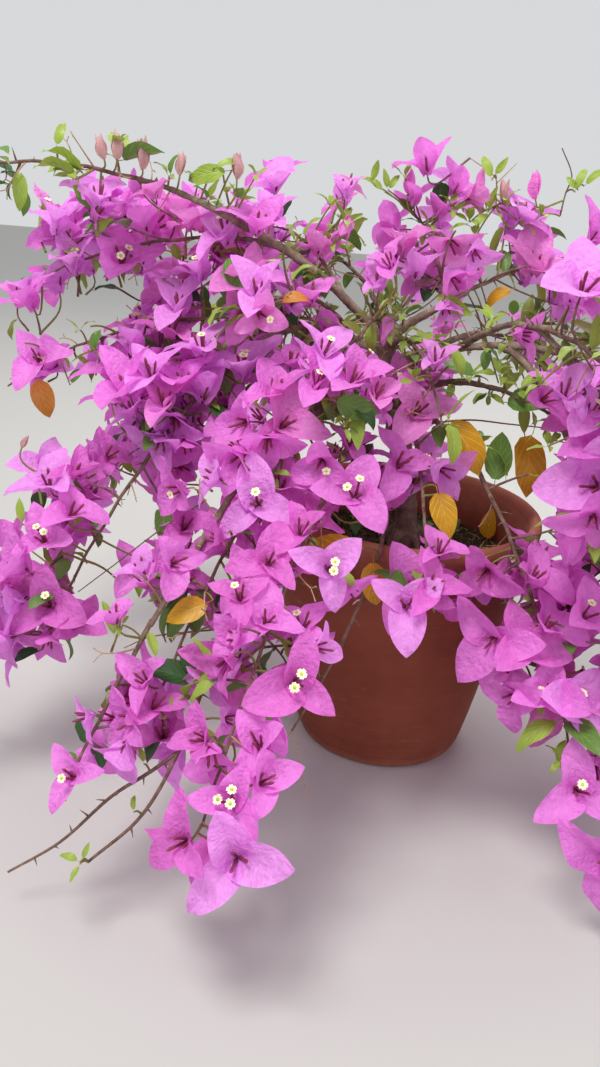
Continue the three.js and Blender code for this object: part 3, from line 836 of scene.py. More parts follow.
# Above this size a bloom has only the narrower bracts
LARGE_BLOOM = 1.05
BRACT_FORMS = ("bud", "half", "open", "wide")
FORM_COPIES = 4
LEAF_FORMS = 6
# Each form's angle from the bloom's axis at a bract's root and at its tip, and how late it bends
OPENINGS = {"bud": (30, -16, 0.8), "half": (18, 58, 0.65), "open": (26, 80, 0.6), "wide": (46, 108, 0.55)}
# How blooms of the front view part along their rays: rounds, wanted gap as a share of their lengths,
# share of the missing gap that a round makes up, and how far at most in millimetres
SPREAD = {"rounds": 30, "gap_share": 0.62, "push": 0.3, "most": 42}
POT_MARGIN = 14
# How a spray finds its carrier: cost of a millimetre of depth, of a bough and of a bare cane, how far
# before the carrier it stands, and its steps away from the pot
HANG = {"depth": 0.12, "bough": 12, "bare": 4, "before": 10, "step": 4}
# The dense crown in the frame, in pixels
CROWN = {"right": 380, "top": 190, "foot": 470}
# What the dice choose from, more often what stands there more often; light bracts are painted sunlight and
# deep bracts painted shade
SUNLIT_TINTS = ("orchid", "orchid", "light", "light", "rose")
UPPER_TINTS = ("orchid", "orchid", "orchid", "light", "light", "deep")
LOWER_TINTS = ("orchid", "orchid", "orchid", "light", "deep", "rose")
FRONT_TINTS = ("orchid", "orchid", "light", "deep")
SHADED_TINTS = ("orchid", "deep", "deep")
LEAF_TINTS = ("young", "young", "young", "green", "green", "green", "young", "dark")
FORMS = ("half", "half", "half", "open", "open", "open", "open", "wide")
OPEN_STARS = (0, 0, 0, 0, 0, 0, 0, 1, 1, 2)


def axes_about(direction, turn=0.0):
    """Axes as columns, of which the third points along direction, turned about it."""
    helper = UP if abs(direction[2]) < 0.9 else np.array((1.0, 0.0, 0.0))
    first = unit(np.cross(helper, direction))
    second = np.cross(direction, first)
    cos, sin = math.cos(turn), math.sin(turn)
    return np.array((first * cos + second * sin, second * cos - first * sin, direction)).T


def turn_about_third(angle):
    cos, sin = math.cos(angle), math.sin(angle)
    return np.array(((cos, -sin, 0), (sin, cos, 0), (0, 0, 1)))


def lean_about_second(angle):
    """Leans the third axis towards the first."""
    cos, sin = math.cos(angle), math.sin(angle)
    return np.array(((cos, 0, sin), (0, 1, 0), (-sin, 0, cos)))


def off_stem(axes, lean, rise=0):
    """A direction away from a stem along the third axis, leaning on along it and rising."""
    return unit(axes[:, 0] + axes[:, 2] * lean + UP * rise)


def random_vector(dice):
    return np.array([dice.uniform(-0.3, 0.3) for _ in range(3)])


def is_in_crown(across, down):
    return across < CROWN["right"] and CROWN["top"] < down < CROWN["foot"]


def bent_path(start, end, bow, steps):
    """Points on a parabola from start to end, pulled aside by bow at its middle."""
    shares = np.linspace(0, 1, steps + 1)
    return np.array([mix(start, end, t) + bow * 4 * t * (1 - t) for t in shares])


def smooth_path(points, step=6, least=2):
    """Points on a smooth curve through the given ones, about step apart and at least so many to a gap."""
    path = []
    for i in range(len(points) - 1):
        before = points[max(0, i - 1)]
        after = points[min(len(points) - 1, i + 2)]
        gap = np.linalg.norm(points[i + 1] - points[i])
        pull_in = unit(points[i + 1] - before) * gap / 3
        pull_out = unit(after - points[i]) * gap / 3
        curve = Curve(points[i], points[i] + pull_in, points[i + 1] - pull_out, points[i + 1])
        count = max(least, round(gap / step))
        path += [curve.point(k / count) for k in range(count)]
    path.append(points[-1])
    return np.array(path)


def spread_in_depth(rows):
    """Moves blooms along their rays until neighbours stand apart; rows hold place, carrier and length."""
    rays = [unit(place - EYE) for place, _, _ in rows]
    depths = [float(np.linalg.norm(place - EYE)) for place, _, _ in rows]
    first = list(depths)
    most = SPREAD["most"]
    for _ in range(SPREAD["rounds"]):
        for i in range(len(rows)):
            for j in range(i):
                gap = np.linalg.norm(EYE + rays[i] * depths[i] - (EYE + rays[j] * depths[j]))
                lengths = rows[i][2] * depths[i] + rows[j][2] * depths[j]
                wanted = SPREAD["gap_share"] * lengths / FOCAL / 2
                if gap < wanted:
                    push = (wanted - gap) * SPREAD["push"] * (1 if depths[i] >= depths[j] else -1)
                    depths[i] = min(first[i] + most, max(first[i] - most, depths[i] + push))
                    depths[j] = min(first[j] + most, max(first[j] - most, depths[j] - push))
    places = []
    for (_, carrier, _), ray, depth in zip(rows, rays, depths):
        place = EYE + ray * depth
        while is_in_pot(place + ray * POT_MARGIN):
            place = place - ray * 3
        places.append((place, carrier))
    return places


class Plant:
    """Rows for every kind of piece: twigs as paths with widths, and copies of shapes by tint."""

    def __init__(self):
        self.canes, self.shoots = grow_by_rule()
        self.room = Room(self.canes)
        self.twigs = {"cane": [], "green": [], "straw": []}
        self.bracts = {tint: [] for tint in ("orchid", "light", "deep", "rose", "salmon")}
        self.leaves = {tint: [] for tint in ("young", "green", "dark", "yellow", "brown")}
        self.tubes = []
        self.stars = []
        self.view = FrontView()
        self.grow_front()
        self.grow_by_shoots()

    def grow_front(self):
        """What the front view shows, each on a twig of its own from the nearest cane."""
        carriers = self.carriers()
        self.add_front_blooms(carriers)
        self.add_front_buds(carriers)
        self.add_front_leaves(carriers)
        self.add_front_tufts(carriers)
        self.add_soil_leaves()
        for width, rows in BARE_CANES:
            self.add_bare_cane(smooth_path([at_plane(*row) for row in rows]), width)

    def grow_by_shoots(self):
        """What grows on from the shoots and canes of the rule."""
        sprays = [(shoot, random.Random(number)) for number, shoot in enumerate(self.shoots)]
        blooms = [self.plan_end_bloom(shoot, dice) for shoot, dice in sprays]
        for (shoot, dice), bloom in zip(sprays, blooms):
            self.grow_spray(shoot, bloom, dice)
        for cane in self.canes:
            self.grow_stem(cane, random.Random(1000 + cane.index))
            self.fill_stem(cane, random.Random(2000 + cane.index))
        for cane in self.canes:
            self.dress_stem(cane, random.Random(3000 + cane.index))
            self.dress_bough(cane, random.Random(4000 + cane.index))

    def add_twig(self, kind, path, start, end):
        """A twig along a path, with its half width at both ends."""
        self.twigs[kind].append((path, np.linspace(start, end, len(path))))

    def bloom_axis(self, direction, place, dice):
        """Blooms in the light look up; those that hang low look out along their twig."""
        light = smooth_step(190, 400, place[2])
        ahead = direction * mix(0.7, 0.5, light) + outward_of(place) * mix(0.6, 0.3, light)
        return unit(ahead + UP * mix(0.2, 1.0, light) + random_vector(dice))

    def bloom_size(self, cane, height, dice):
        """Blooms that hang low are larger than those on top of the crown."""
        grown = mix(1.04, 0.8, smooth_step(130, 380, height))
        return grown * mix(1, cane.size, 0.7) * dice.uniform(0.84, 1.1)

    def bloom_samples(self, place, axes, size):
        """Points over a bloom's three bracts, for the room that they take."""
        length = 38 * size
        points = [place, place + axes[:, 2] * length * 0.3]
        for k in range(3):
            angle = k * TURN / 3
            outward = axes[:, 0] * math.cos(angle) + axes[:, 1] * math.sin(angle)
            across = axes[:, 1] * math.cos(angle) - axes[:, 0] * math.sin(angle)
            blade = outward * 0.85 + axes[:, 2] * 0.5
            points += [place + blade * length * share for share in (0.35, 0.65, 0.92)]
            points += [place + blade * length * 0.5 + across * sign * length * 0.33 for sign in (-1, 1)]
        return np.array(points)

    def carriers(self):
        """Points along the canes that can carry a spray, with the cost of using each."""
        points = []
        costs = []
        for cane in self.canes:
            for share in np.linspace(0.2, 1, round(cane.curve.length() / 4)):
                points.append(cane.curve.point(share))
                costs.append(0 if share > cane.leafy_share else HANG["bough"])
        for _, rows in BARE_CANES:
            path = smooth_path([at_plane(*row) for row in rows])
            points += list(path)
            costs += [HANG["bare"]] * len(path)
        return np.array(points), np.array(costs)

    def hang_on_ray(self, across, down, carriers):
        """The place on a pixel's ray nearest to a carrier, the nearer carriers first, and that carrier."""
        points, costs = carriers
        ray = ray_through(across, down)
        depth = (points - EYE) @ ray
        gaps = np.linalg.norm(points - EYE - depth[:, None] * ray, axis=1)
        best = int(np.argmin(gaps + costs + HANG["depth"] * depth))
        place = EYE + ray * (depth[best] - HANG["before"])
        while is_in_pot(place + ray * POT_MARGIN):
            place = place - ray * HANG["step"]
        return place, points[best]

    def add_front_blooms(self, carriers):
        places = []
        for across, down, length, angle, facing, *_ in FRONT_BLOOMS:
            lean = MIDDLE_SHARE * length * math.cos(math.radians(max(facing, LEAST_FACING)))
            root_across = across - lean * math.cos(math.radians(angle))
            root_down = down + lean * math.sin(math.radians(angle))
            places.append((*self.hang_on_ray(root_across, root_down, carriers), length))
        places = spread_in_depth(places)
        for number, (row, (place, carrier)) in enumerate(zip(FRONT_BLOOMS, places)):
            self.add_front_bloom(row, place, carrier, random.Random(5000 + number))
        for number, (row, (place, _)) in enumerate(zip(FRONT_BLOOMS, places)):
            self.add_companions(row, place, random.Random(9000 + number))

    def add_front_bloom(self, row, place, carrier, dice):
        """A bloom as the front view shows it; one seen from the side is drawn larger."""
        across, down, length, angle, facing, pointing, star_count = row
        facing = max(facing, LEAST_FACING)
        seen_askew = mix(1.5 if is_in_crown(across, down) else 1.25, 1.12, smooth_step(20, 60, facing))
        size = min(1.3, max(0.5, true_size(length, place) / FRONT_BRACT * seen_askew))
        axis = from_screen(angle, facing)
        first = from_screen(pointing)
        if facing < 45 and length < 40:
            first = from_screen(angle - 90) * dice.uniform(-0.7, 0.7) - ray_through(across, down)
        first = unit(first - axis * np.dot(first, axis))
        axes = np.array((first, np.cross(axis, first), axis)).T
        self.room.add(self.bloom_samples(place, axes, size * 0.9), PLACED, BLOOM_GAP, BLOOM_GAP)
        self.view.add(at_depth(across, down, place), length)
        form = "open" if facing > 45 else dice.choice(("half", "half", "open"))
        self.add_bloom(place, axes, size, self.front_tint(place, dice), dice, form, star_count)
        self.add_front_twig(carrier, place, axis, dice)

    def add_companions(self, row, place, dice):
        """Blooms of the same panicle, behind and beside one that the front view shows."""
        across, down, length, angle, facing, *_ = row
        ray = unit(place - EYE)
        scale = true_size(1, place)
        missing = self.companions_wanted(across, down, length)
        for _ in range(COMPANION_TRIES):
            if not missing:
                return
            away = dice.uniform(0.3, 1.15) * length * scale
            direction = from_screen(dice.uniform(0, 360))
            spot = place + direction * away + ray * dice.uniform(8, 46)
            axis = from_screen(angle + dice.uniform(-45, 45), facing * dice.uniform(0.4, 1.2))
            axis = unit(axis + UP * 0.4 + random_vector(dice))
            size = min(1.2, length * scale / FRONT_BRACT * dice.uniform(1.0, 1.35))
            axes = axes_about(axis, dice.uniform(0, TURN))
            samples = self.bloom_samples(spot, axes, size)
            if is_blocked(samples) or not self.has_room(samples):
                continue
            self.room.add(samples, PLACED, BLOOM_GAP, BLOOM_GAP)
            self.add_bloom(spot, axes, size, self.front_tint(spot, dice), dice)
            self.add_front_twig(place - axis * 24 + ray * 6, spot, axis, dice)
            missing -= 1

    def companions_wanted(self, across, down, length):
        """The crown is dense; the canes at its top right and the lowest sprays are open."""
        if length > 44 or across > 540 or (across > 370 and down < 340):
            return 0
        return 3 if is_in_crown(across, down) else 1

    def add_front_buds(self, carriers):
        for number, (across, down, length, angle, tint) in enumerate(FRONT_BUDS):
            dice = random.Random(6000 + number)
            place, carrier = self.hang_on_ray(across, down, carriers)
            size = true_size(length, place) / FRONT_BRACT
            axis = from_screen(angle, 10)
            self.view.add(place, length * 0.5)
            axes = axes_about(axis, dice.uniform(0, TURN))
            self.add_bloom(place, axes, size / BUD_SIZE, tint, dice, "bud")
            self.add_front_twig(carrier, place, axis, dice)

    def add_front_leaves(self, carriers):
        for number, (across, down, tip_across, tip_down, tint) in enumerate(FRONT_LEAVES):
            place, carrier = self.hang_on_ray(across, down, carriers)
            run = at_depth(tip_across, tip_down, place) - place
            normal = -ray_through(across, down) + UP * 0.5
            size = np.linalg.norm(run) / FRONT_LEAF
            self.place_leaf(place, unit(run), size, tint, random.Random(7000 + number), normal)
            self.add_twig("green", bent_path(carrier, place, UP * 2, 4), 0.9, 0.6)

    def add_front_tufts(self, carriers):
        for number, (across, down, count, length) in enumerate(FRONT_TUFTS):
            dice = random.Random(7500 + number)
            place, carrier = self.hang_on_ray(across, down, carriers)
            size = true_size(length, place) / TUFT_LEAF
            self.add_twig("green", bent_path(carrier, place, UP * 2, 4), 0.9, 0.6)
            along = unit(unit(place - carrier) + UP)
            for k in range(count):
                direction = off_stem(axes_about(along, k * GOLDEN_ANGLE), mix(0.2, 1.4, k / count))
                self.place_leaf(place, direction, size * dice.uniform(0.8, 1.1), "young", dice)

    def add_soil_leaves(self):
        for number, (x, y, tint, length, azimuth, rise) in enumerate(SOIL_LEAVES):
            angle, tilt = math.radians(azimuth), math.radians(rise)
            level = math.cos(tilt)
            direction = np.array((math.cos(angle) * level, math.sin(angle) * level, math.sin(tilt)))
            place = np.array((x, y, soil_top(x, y) + 0.6))
            self.place_leaf(place, direction, length / TUFT_LEAF, tint, random.Random(7800 + number))

    def front_tint(self, place, dice):
        """The colour of a bloom of the front view: pale on top and deep in the shade round the pot's rim, a
        painted sunlight and a painted shade.
        """
        # Blooms high up take the sunlit tints: painted sunlight
        if place[2] > 300:
            return dice.choice(SUNLIT_TINTS)
        # Blooms under the crown near the rim take the shaded tints: painted shade
        is_in_shade = math.hypot(place[0], place[1]) < 190 and place[2] > 170
        return dice.choice(SHADED_TINTS if is_in_shade else FRONT_TINTS)

    def add_front_twig(self, carrier, place, axis, dice):
        """A twig that leaves its cane towards the bloom and comes up to it from behind."""
        gap = np.linalg.norm(place - carrier)
        behind = place - axis * min(22, gap * 0.6)
        sag = UP * gap * 0.12
        curve = Curve(carrier, mix(carrier, behind, 0.5) + sag, behind, place)
        count = max(4, round(gap / 6))
        path = np.array([curve.point(i / count) for i in range(count + 1)])
        self.add_twig(dice.choice(("cane", "green", "green")), path, min(1.4, 0.8 + gap * 0.008), 0.7)
        if gap > 25:
            self.leaf_on_path(path, dice.uniform(0.3, 0.7), dice, 0.4, 0.8)

    def add_bare_cane(self, path, width):
        """A cane with no blooms, with thorns along it where it is stout enough."""
        self.add_twig("straw" if width < 1.5 else "cane", path, width / 2, width * 0.3)
        if width < 2.5:
            return
        for i in range(2, len(path) - 2, 3):
            axes = axes_about(unit(path[i + 1] - path[i]), i * GOLDEN_ANGLE)
            self.add_thorn(path[i], off_stem(axes, 0.3), random.Random(8000 + i))

    def is_in_clump(self, place):
        """Out of the front view the blooms stand in clumps with air between them."""
        across, down, _ = in_frame(place)
        if is_seen(across, down)[0] and place[1] < -40:
            return True
        return noise.noise(Vector(place / CLUMP_SIZE)) > CLUMP_LEAST

    def has_room(self, samples):
        """Whether a bloom hides nothing that the front view shows and is clear of what grows already."""
        return self.view.allows_bloom(samples) and self.room.is_clear(samples, NEW_BLOOM)

    def can_bloom(self, place, samples):
        is_in_box = (samples * MM >= REACH[0]).all() and (samples * MM <= REACH[1]).all()
        return is_in_box and self.is_in_clump(place) and self.has_room(samples)

    def plan_end_bloom(self, shoot, dice):
        """The bloom that a shoot of the rule ends in, with room kept for it."""
        axes = axes_about(self.bloom_axis(shoot.direction, shoot.end, dice), shoot.turn)
        size = self.bloom_size(shoot.cane, shoot.end[2], dice)
        samples = self.bloom_samples(shoot.end, axes, size)
        if shoot.is_leafy or not self.can_bloom(shoot.end, samples):
            return None
        self.room.add(samples, PLACED, BLOOM_GAP, BLOOM_GAP)
        return axes, size

    def add_bloom(self, place, axes, size, tint, dice, form=None, star_count=None):
        """Three bracts round three small flowers; the bract that hangs lowest opens widest."""
        form = form or self.form_of(tint, dice)
        size *= BUD_SIZE if form == "bud" else 1
        low = unit(outward_of(place) - UP * 0.6)
        for k in range(3):
            own = axes @ turn_about_third(k * TURN / 3 + dice.uniform(-0.12, 0.12))
            own = own @ lean_about_second(dice.uniform(-0.16, 0.16))
            hangs = np.dot(own[:, 0], low) > 0.5 and form in ("half", "open")
            copy = dice.randrange(FORM_COPIES // 2 if size > LARGE_BLOOM else FORM_COPIES)
            shape = BRACT_FORMS.index("wide" if hangs else form) * FORM_COPIES + copy
            bract_size = size * dice.uniform(0.9, 1.06)
            self.bracts[tint].append(Placed(place + own[:, 0] * 0.9, own, bract_size, shape))
        if form != "bud":
            self.add_flowers(place, axes, size, dice, star_count)

    def add_flowers(self, place, axes, size, dice, star_count):
        chance = dice.choice(OPEN_STARS) if size > 0.6 else 0
        open_count = chance if star_count is None else star_count
        for k in range(3):
            own = axes @ turn_about_third(k * TURN / 3 + 0.15) @ lean_about_second(dice.uniform(0.1, 0.34))
            is_open = k < open_count
            flower_size = (1 if is_open else dice.uniform(0.75, 1)) * (0.5 + 0.5 * size)
            flower = Placed(place + own[:, 0] * 1.1, own, flower_size, int(is_open))
            self.tubes.append(flower)
            if is_open:
                self.stars.append(Placed(flower.place, own, flower_size, 0))

    def add_leaf(self, place, direction, size, tint, dice, droop=0.25):
        """A leaf on its stalk, with its upper side up, where there is room for it."""
        direction = unit(direction - UP * droop)
        samples = np.array([place + direction * 40 * size * share for share in (0.5, 0.8, 1)])
        if self.view.allows_leaf(samples) and self.room.is_clear(samples, NEW_LEAF):
            self.room.add(samples, PLACED, LEAF_GAP, LEAF_GAP)
            self.place_leaf(place, direction, size, tint, dice)

    def place_leaf(self, place, direction, size, tint, dice, normal=UP):
        across = np.cross(normal, direction)
        if np.linalg.norm(across) < 0.2:
            across = np.array((1.0, 0.0, 0.0))
        across = unit(across)
        roll = dice.uniform(-0.5, 0.5)
        across = across * math.cos(roll) + np.cross(direction, across) * math.sin(roll)
        across = unit(across - direction * np.dot(across, direction))
        axes = np.array((direction, across, np.cross(direction, across))).T
        shape = dice.randrange(LEAF_FORMS // 2) + (0 if tint == "young" else LEAF_FORMS // 2)
        self.leaves[tint].append(Placed(place, axes, size, shape))

    def tint_of(self, cane, height, dice):
        """The colour of a spray: paler on top as painted sunlight, deeper inside as painted shade, salmon
        where the canes are young.
        """
        if cane.name == "left_arch" and dice.random() < 0.8:
            return "salmon"
        # Sprays on top take the sunlit tints: painted sunlight
        if height > 420:
            return dice.choice(SUNLIT_TINTS)
        return dice.choice(UPPER_TINTS if height > 280 else LOWER_TINTS)

    def form_of(self, tint, dice):
        return "bud" if tint == "salmon" else dice.choice(FORMS)

    def grow_spray(self, shoot, bloom, dice):
        """The twig of a shoot, what its end carries and the side twigs near that end."""
        if not bloom and not shoot.is_leafy and dice.random() < 0.6:
            return
        length = float(np.linalg.norm(shoot.end - shoot.start))
        sideways = axes_about(shoot.direction, dice.uniform(0, TURN))[:, 0]
        bow = sideways * length * dice.uniform(0.03, 0.09) + UP * length * 0.03
        path = bent_path(shoot.start, shoot.end, bow, max(4, round(length / 5)))
        self.add_twig(dice.choice(("cane", "cane", "green")), path, 1.2, 0.75)
        if shoot.is_leafy:
            self.grow_leafy_end(shoot, path, dice)
            return
        tint = self.tint_of(shoot.cane, shoot.end[2], dice)
        if bloom:
            self.add_bloom(shoot.end, *bloom, tint, dice)
        for k in range(dice.choice((2, 2, 3, 3))):
            self.add_side_bloom(shoot, path, k, tint, dice)
        for share in (0.3, 0.7):
            if dice.random() < 0.5:
                self.leaf_on_path(path, share, dice, 0.35, 0.7)

    def leaf_on_path(self, path, share, dice, least, most):
        tint = dice.choice(LEAF_TINTS)
        size = dice.uniform(least, most)
        row = min(len(path) - 2, int(share * (len(path) - 1)))
        axes = axes_about(unit(path[row + 1] - path[row]), dice.uniform(0, TURN))
        self.add_leaf(path[row], off_stem(axes, dice.uniform(0.2, 0.8)), size, tint, dice)

    def add_side_bloom(self, shoot, path, k, tint, dice):
        """A second or third bloom on a stalk from the twig, where there is room for it."""
        for attempt in range(SIDE_TRIES):
            row = int(dice.uniform(0.45, 0.92) * (len(path) - 1))
            along = unit(path[row + 1] - path[row]) if row + 1 < len(path) else shoot.direction
            angle = shoot.turn + k * GOLDEN_ANGLE + attempt * 1.3 + dice.uniform(-0.3, 0.3)
            stem_axes = axes_about(along, angle)
            direction = off_stem(stem_axes, dice.uniform(0.2, 0.9), 0.1)
            place = path[row] + direction * (dice.uniform(13, 26) * mix(1, shoot.cane.size, 0.6))
            axis = self.bloom_axis(direction, place, dice)
            size = self.bloom_size(shoot.cane, place[2], dice) * mix(1, 0.8, attempt / SIDE_TRIES)
            axes = axes_about(axis, dice.uniform(0, TURN))
            samples = self.bloom_samples(place, axes, size)
            if is_blocked(samples) or not self.can_bloom(place, samples):
                continue
            self.room.add(samples, PLACED, BLOOM_GAP, BLOOM_GAP)
            self.add_twig("green", bent_path(path[row], place, stem_axes[:, 1] * 1.2, 3), 0.8, 0.6)
            self.add_bloom(place, axes, size, tint, dice)
            return

    def grow_leafy_end(self, shoot, path, dice):
        """A tuft of leaves at a shoot's end."""
        tint = dice.choice(("young", "young", "green"))
        for k in range(5):
            axes = axes_about(shoot.axis, shoot.turn + k * GOLDEN_ANGLE)
            size = mix(1.0, 0.45, k / 4) * mix(1, shoot.cane.size, 0.7)
            direction = off_stem(axes, mix(0.3, 1.4, k / 4))
            self.add_leaf(path[-1 - k // 2], direction, size, tint, dice, droop=0.1)
        for share in (0.25, 0.5, 0.75):
            self.leaf_on_path(path, share, dice, 0.6, 0.95)

    def grow_stem(self, cane, dice):
        """The leafy part of a cane with its slight zigzag from node to node."""
        overlap = 4 / cane.curve.length()
        count = max(8, round(cane.leafy / 5))
        across, other = cross_axes(cane.curve.tangent(1), level_across(*cane.curve.handles[::3]))
        points = []
        widths = []
        for i in range(count + 1):
            share = i / count
            run = share * cane.leafy
            zigzag = abs((run / 44) % 1 - 0.5) * 4 - 1
            swelling = 1 + 0.16 * math.exp(-((run % 22 - 11) ** 2) / 6)
            middle = cane.curve.point(mix(cane.leafy_share - overlap, 1, share))
            points.append(middle + (across * zigzag + other * dice.uniform(-0.2, 0.2)) * 0.8)
            widths.append(mix(LEAFY_RADIUS * LIMB_SHARE, 0.95, share) * swelling)
        self.twigs["cane"].append((np.array(points), np.array(widths)))

    def fill_stem(self, cane, dice):
        """Short twigs with one bloom each, in the room that the rule's shoots leave."""
        for number in range(round(cane.leafy * cane.spread / 60)):
            along = mix(cane.leafy_share, 1, dice.random())
            start = cane.curve.point(along)
            stem_axes = axes_about(cane.curve.tangent(along), number * GOLDEN_ANGLE)
            direction = off_stem(stem_axes, dice.uniform(0, 0.9), 0.2)
            length = cane.spread * dice.uniform(0.3, 1.15) * mix(1, cane.size, 0.4)
            place = start + direction * length
            axis = self.bloom_axis(direction, place, dice)
            axes = axes_about(axis, dice.uniform(0, TURN))
            size = self.bloom_size(cane, place[2], dice) * 0.95
            twig = [mix(start, place, share) for share in (0.4, 0.6, 0.8)]
            samples = np.concatenate((self.bloom_samples(place, axes, size), twig))
            if not self.can_bloom(place, samples) or not self.room.is_own_space(samples, cane):
                continue
            self.room.add(samples, PLACED, BLOOM_GAP, BLOOM_GAP)
            tint = self.tint_of(cane, place[2], dice)
            path = bent_path(start, place, stem_axes[:, 1] * length * 0.06, max(4, round(length / 6)))
            self.add_twig(dice.choice(("cane", "green")), path, 1.0, 0.65)
            self.add_bloom(place, axes, size, tint, dice)
            self.leaf_on_path(path, dice.uniform(0.3, 0.8), dice, 0.4, 0.8)

    def dress_stem(self, cane, dice):
        """Leaves, thorns and dead flower stalks along the leafy part of a cane."""
        count = round(cane.leafy / 9)
        for i in range(count):
            along = mix(cane.leafy_share, 1, (i + dice.random()) / count)
            start = cane.curve.point(along)
            axes = axes_about(cane.curve.tangent(along), i * GOLDEN_ANGLE)
            direction = off_stem(axes, dice.uniform(0.1, 0.8))
            chance = dice.random()
            if chance < 0.45:
                size = dice.uniform(0.32, 0.68) * mix(1, cane.size, 0.5)
                self.add_leaf(start, direction, size, dice.choice(LEAF_TINTS), dice)
            elif chance < 0.7:
                self.add_thorn(start, direction, dice)
            else:
                self.add_dead_stalk(start, direction, dice)

    def dress_bough(self, cane, dice):
        """Tufts of young leaves, thorns and dead stalks on the bare part of a cane."""
        length = cane.curve.length()
        count = round(length * cane.leafy_share / 13)
        for i in range(count):
            along = cane.leafy_share * (i + dice.random()) / count
            if along * length < 8:
                continue
            start = cane.curve.point(along)
            direction = off_stem(axes_about(cane.curve.tangent(along), i * GOLDEN_ANGLE), 0, 0.5)
            chance = dice.random()
            if chance < 0.4:
                self.add_tuft(start, direction, cane.radius(along), dice)
            elif chance < 0.6:
                self.add_thorn(start, direction, dice)
            elif chance < 0.85:
                self.add_dead_stalk(start, direction, dice)

    def add_tuft(self, start, direction, radius, dice):
        spur = start + direction * (radius + dice.uniform(3, 12))
        self.add_twig("green", bent_path(start, spur, UP * 0.3, 3), 1.0, 0.7)
        for k in range(dice.randrange(3, 6)):
            leaf_direction = off_stem(axes_about(direction, k * GOLDEN_ANGLE), dice.uniform(0.4, 1.3))
            tint = dice.choice(("young", "young", "young", "green"))
            self.add_leaf(spur, leaf_direction, dice.uniform(0.26, 0.5), tint, dice, droop=0.05)

    def add_thorn(self, start, direction, dice):
        path = bent_path(start, start + direction * dice.uniform(6, 12), UP * 0.4, 3)
        self.twigs["cane"].append((path, np.array((0.95, 0.7, 0.4, 0.12))))

    def add_dead_stalk(self, start, direction, dice):
        """The dry stalk of a fallen bloom, forked at its end."""
        length = dice.uniform(12, 30)
        tip = start + direction * length
        sideways = axes_about(direction, dice.uniform(0, TURN))[:, 0]
        self.add_twig("straw", bent_path(start, tip, sideways * 1.5, 5), 0.75, 0.45)
        for sign in (-1, 1):
            fork = tip + unit(direction + sideways * sign * 0.9) * length * dice.uniform(0.2, 0.4)
            branch = bent_path(tip, fork, direction * 0.5, 2)
            self.twigs["straw"].append((branch, np.array((0.45, 0.4, 0.5))))


@functools.cache
def plant():
    return Plant()


# Meshes

def new_object(name, mesh):
    piece = bpy.data.objects.new(name, mesh)
    bpy.context.scene.collection.objects.link(piece)
    return piece


def mesh_from(name, vertices, faces, uv=None, smooth=True):
    """A mesh in metres; uv holds one pair for each vertex."""
    mesh = bpy.data.meshes.new(name)
    mesh.from_pydata([tuple(v) for v in vertices], [], faces, shade_flat=not smooth)
    if uv is not None:
        layer = mesh.uv_layers.new(name="UVMap")
        for loop in mesh.loops:
            layer.data[loop.index].uv = uv[loop.vertex_index]
    mesh.update()
    return mesh


def plain_mesh(source, name):
    """The evaluated object as one plain mesh object; the source and its modifiers go."""
    evaluated = source.evaluated_get(bpy.context.evaluated_depsgraph_get())
    mesh = bpy.data.meshes.new_from_object(evaluated)
    mesh.name = name
    bpy.data.objects.remove(source)
    piece = new_object(name, mesh)
    piece.name = name
    return piece


def finish_piece(piece, slot, *nodes):
    """Rides the piece on the plant's body and hides the solids that it stands for."""
    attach(piece, BODY)
    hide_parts(*nodes)


def nodes_of(kind):
    return [name for name in frame["nodes"] if name.startswith(kind)]


def ring(radius, height, sides):
    """Points round the Z axis."""
    angles = [k * TURN / sides for k in range(sides)]
    return [(radius * math.cos(angle), radius * math.sin(angle), height) for angle in angles]


def wrapped_faces(rows, sides, first=0, has_points=False):
    """Faces round rows of vertices, closed at both ends by a cap or by a fan to the point beyond."""
    faces = []
    last = first + (rows - 1) * sides
    for k in range(sides):
        following = (k + 1) % sides
        if has_points:
            faces.append((first - 1, first + following, first + k))
            faces.append((last + k, last + following, last + sides))
        for low in range(first, last, sides):
            faces.append((low + k, low + following, low + sides + following, low + sides + k))
    if not has_points:
        faces.append(tuple(range(first + sides - 1, first - 1, -1)))
        faces.append(tuple(range(last, last + sides)))
    return faces


def blade_mesh(name, rows, columns, outline, centre, lift, stalk=None):
    """A sheet in rows from its root to one vertex at its tip.

    outline(v): half width. centre(v): the midrib's place, the sheet's upper side and the way it runs.
    lift(u, v, half_width): how far a point stands over the midrib and behind it, for u from -1 to 1.
    stalk: the start, end and radius of a stalk under the root."""
    vertices = []
    uv = []
    for i in range(rows):
        v = i / rows
        (x, z), (normal_x, normal_z), (along_x, along_z) = centre(v)
        half_width = outline(v)
        for j in range(columns + 1):
            u = 2 * j / columns - 1
            height, back = lift(u, v, half_width)
            across_x = x + normal_x * height - along_x * back
            vertices.append((across_x, u * half_width, z + normal_z * height - along_z * back))
            uv.append(((u + 1) / 2, v))
    (x, z), _, _ = centre(1)
    vertices.append((x, 0, z))
    uv.append((0.5, 1))
    faces = []
    for i in range(rows - 1):
        for j in range(columns):
            a = i * (columns + 1) + j
            faces.append((a, a + 1, a + columns + 2, a + columns + 1))
    last = (rows - 1) * (columns + 1)
    tip = len(vertices) - 1
    faces += [(last + j, last + j + 1, tip) for j in range(columns)]
    if stalk:
        faces += wrapped_faces(2, 3, len(vertices))
        start, end, radius = stalk
        vertices += [(x, y, z - radius * 0.5) for x in (start, end) for y, z, _ in ring(radius, 0, 3)]
        uv += [(0.5, 0)] * 6
    return mesh_from(name, vertices, faces, uv)


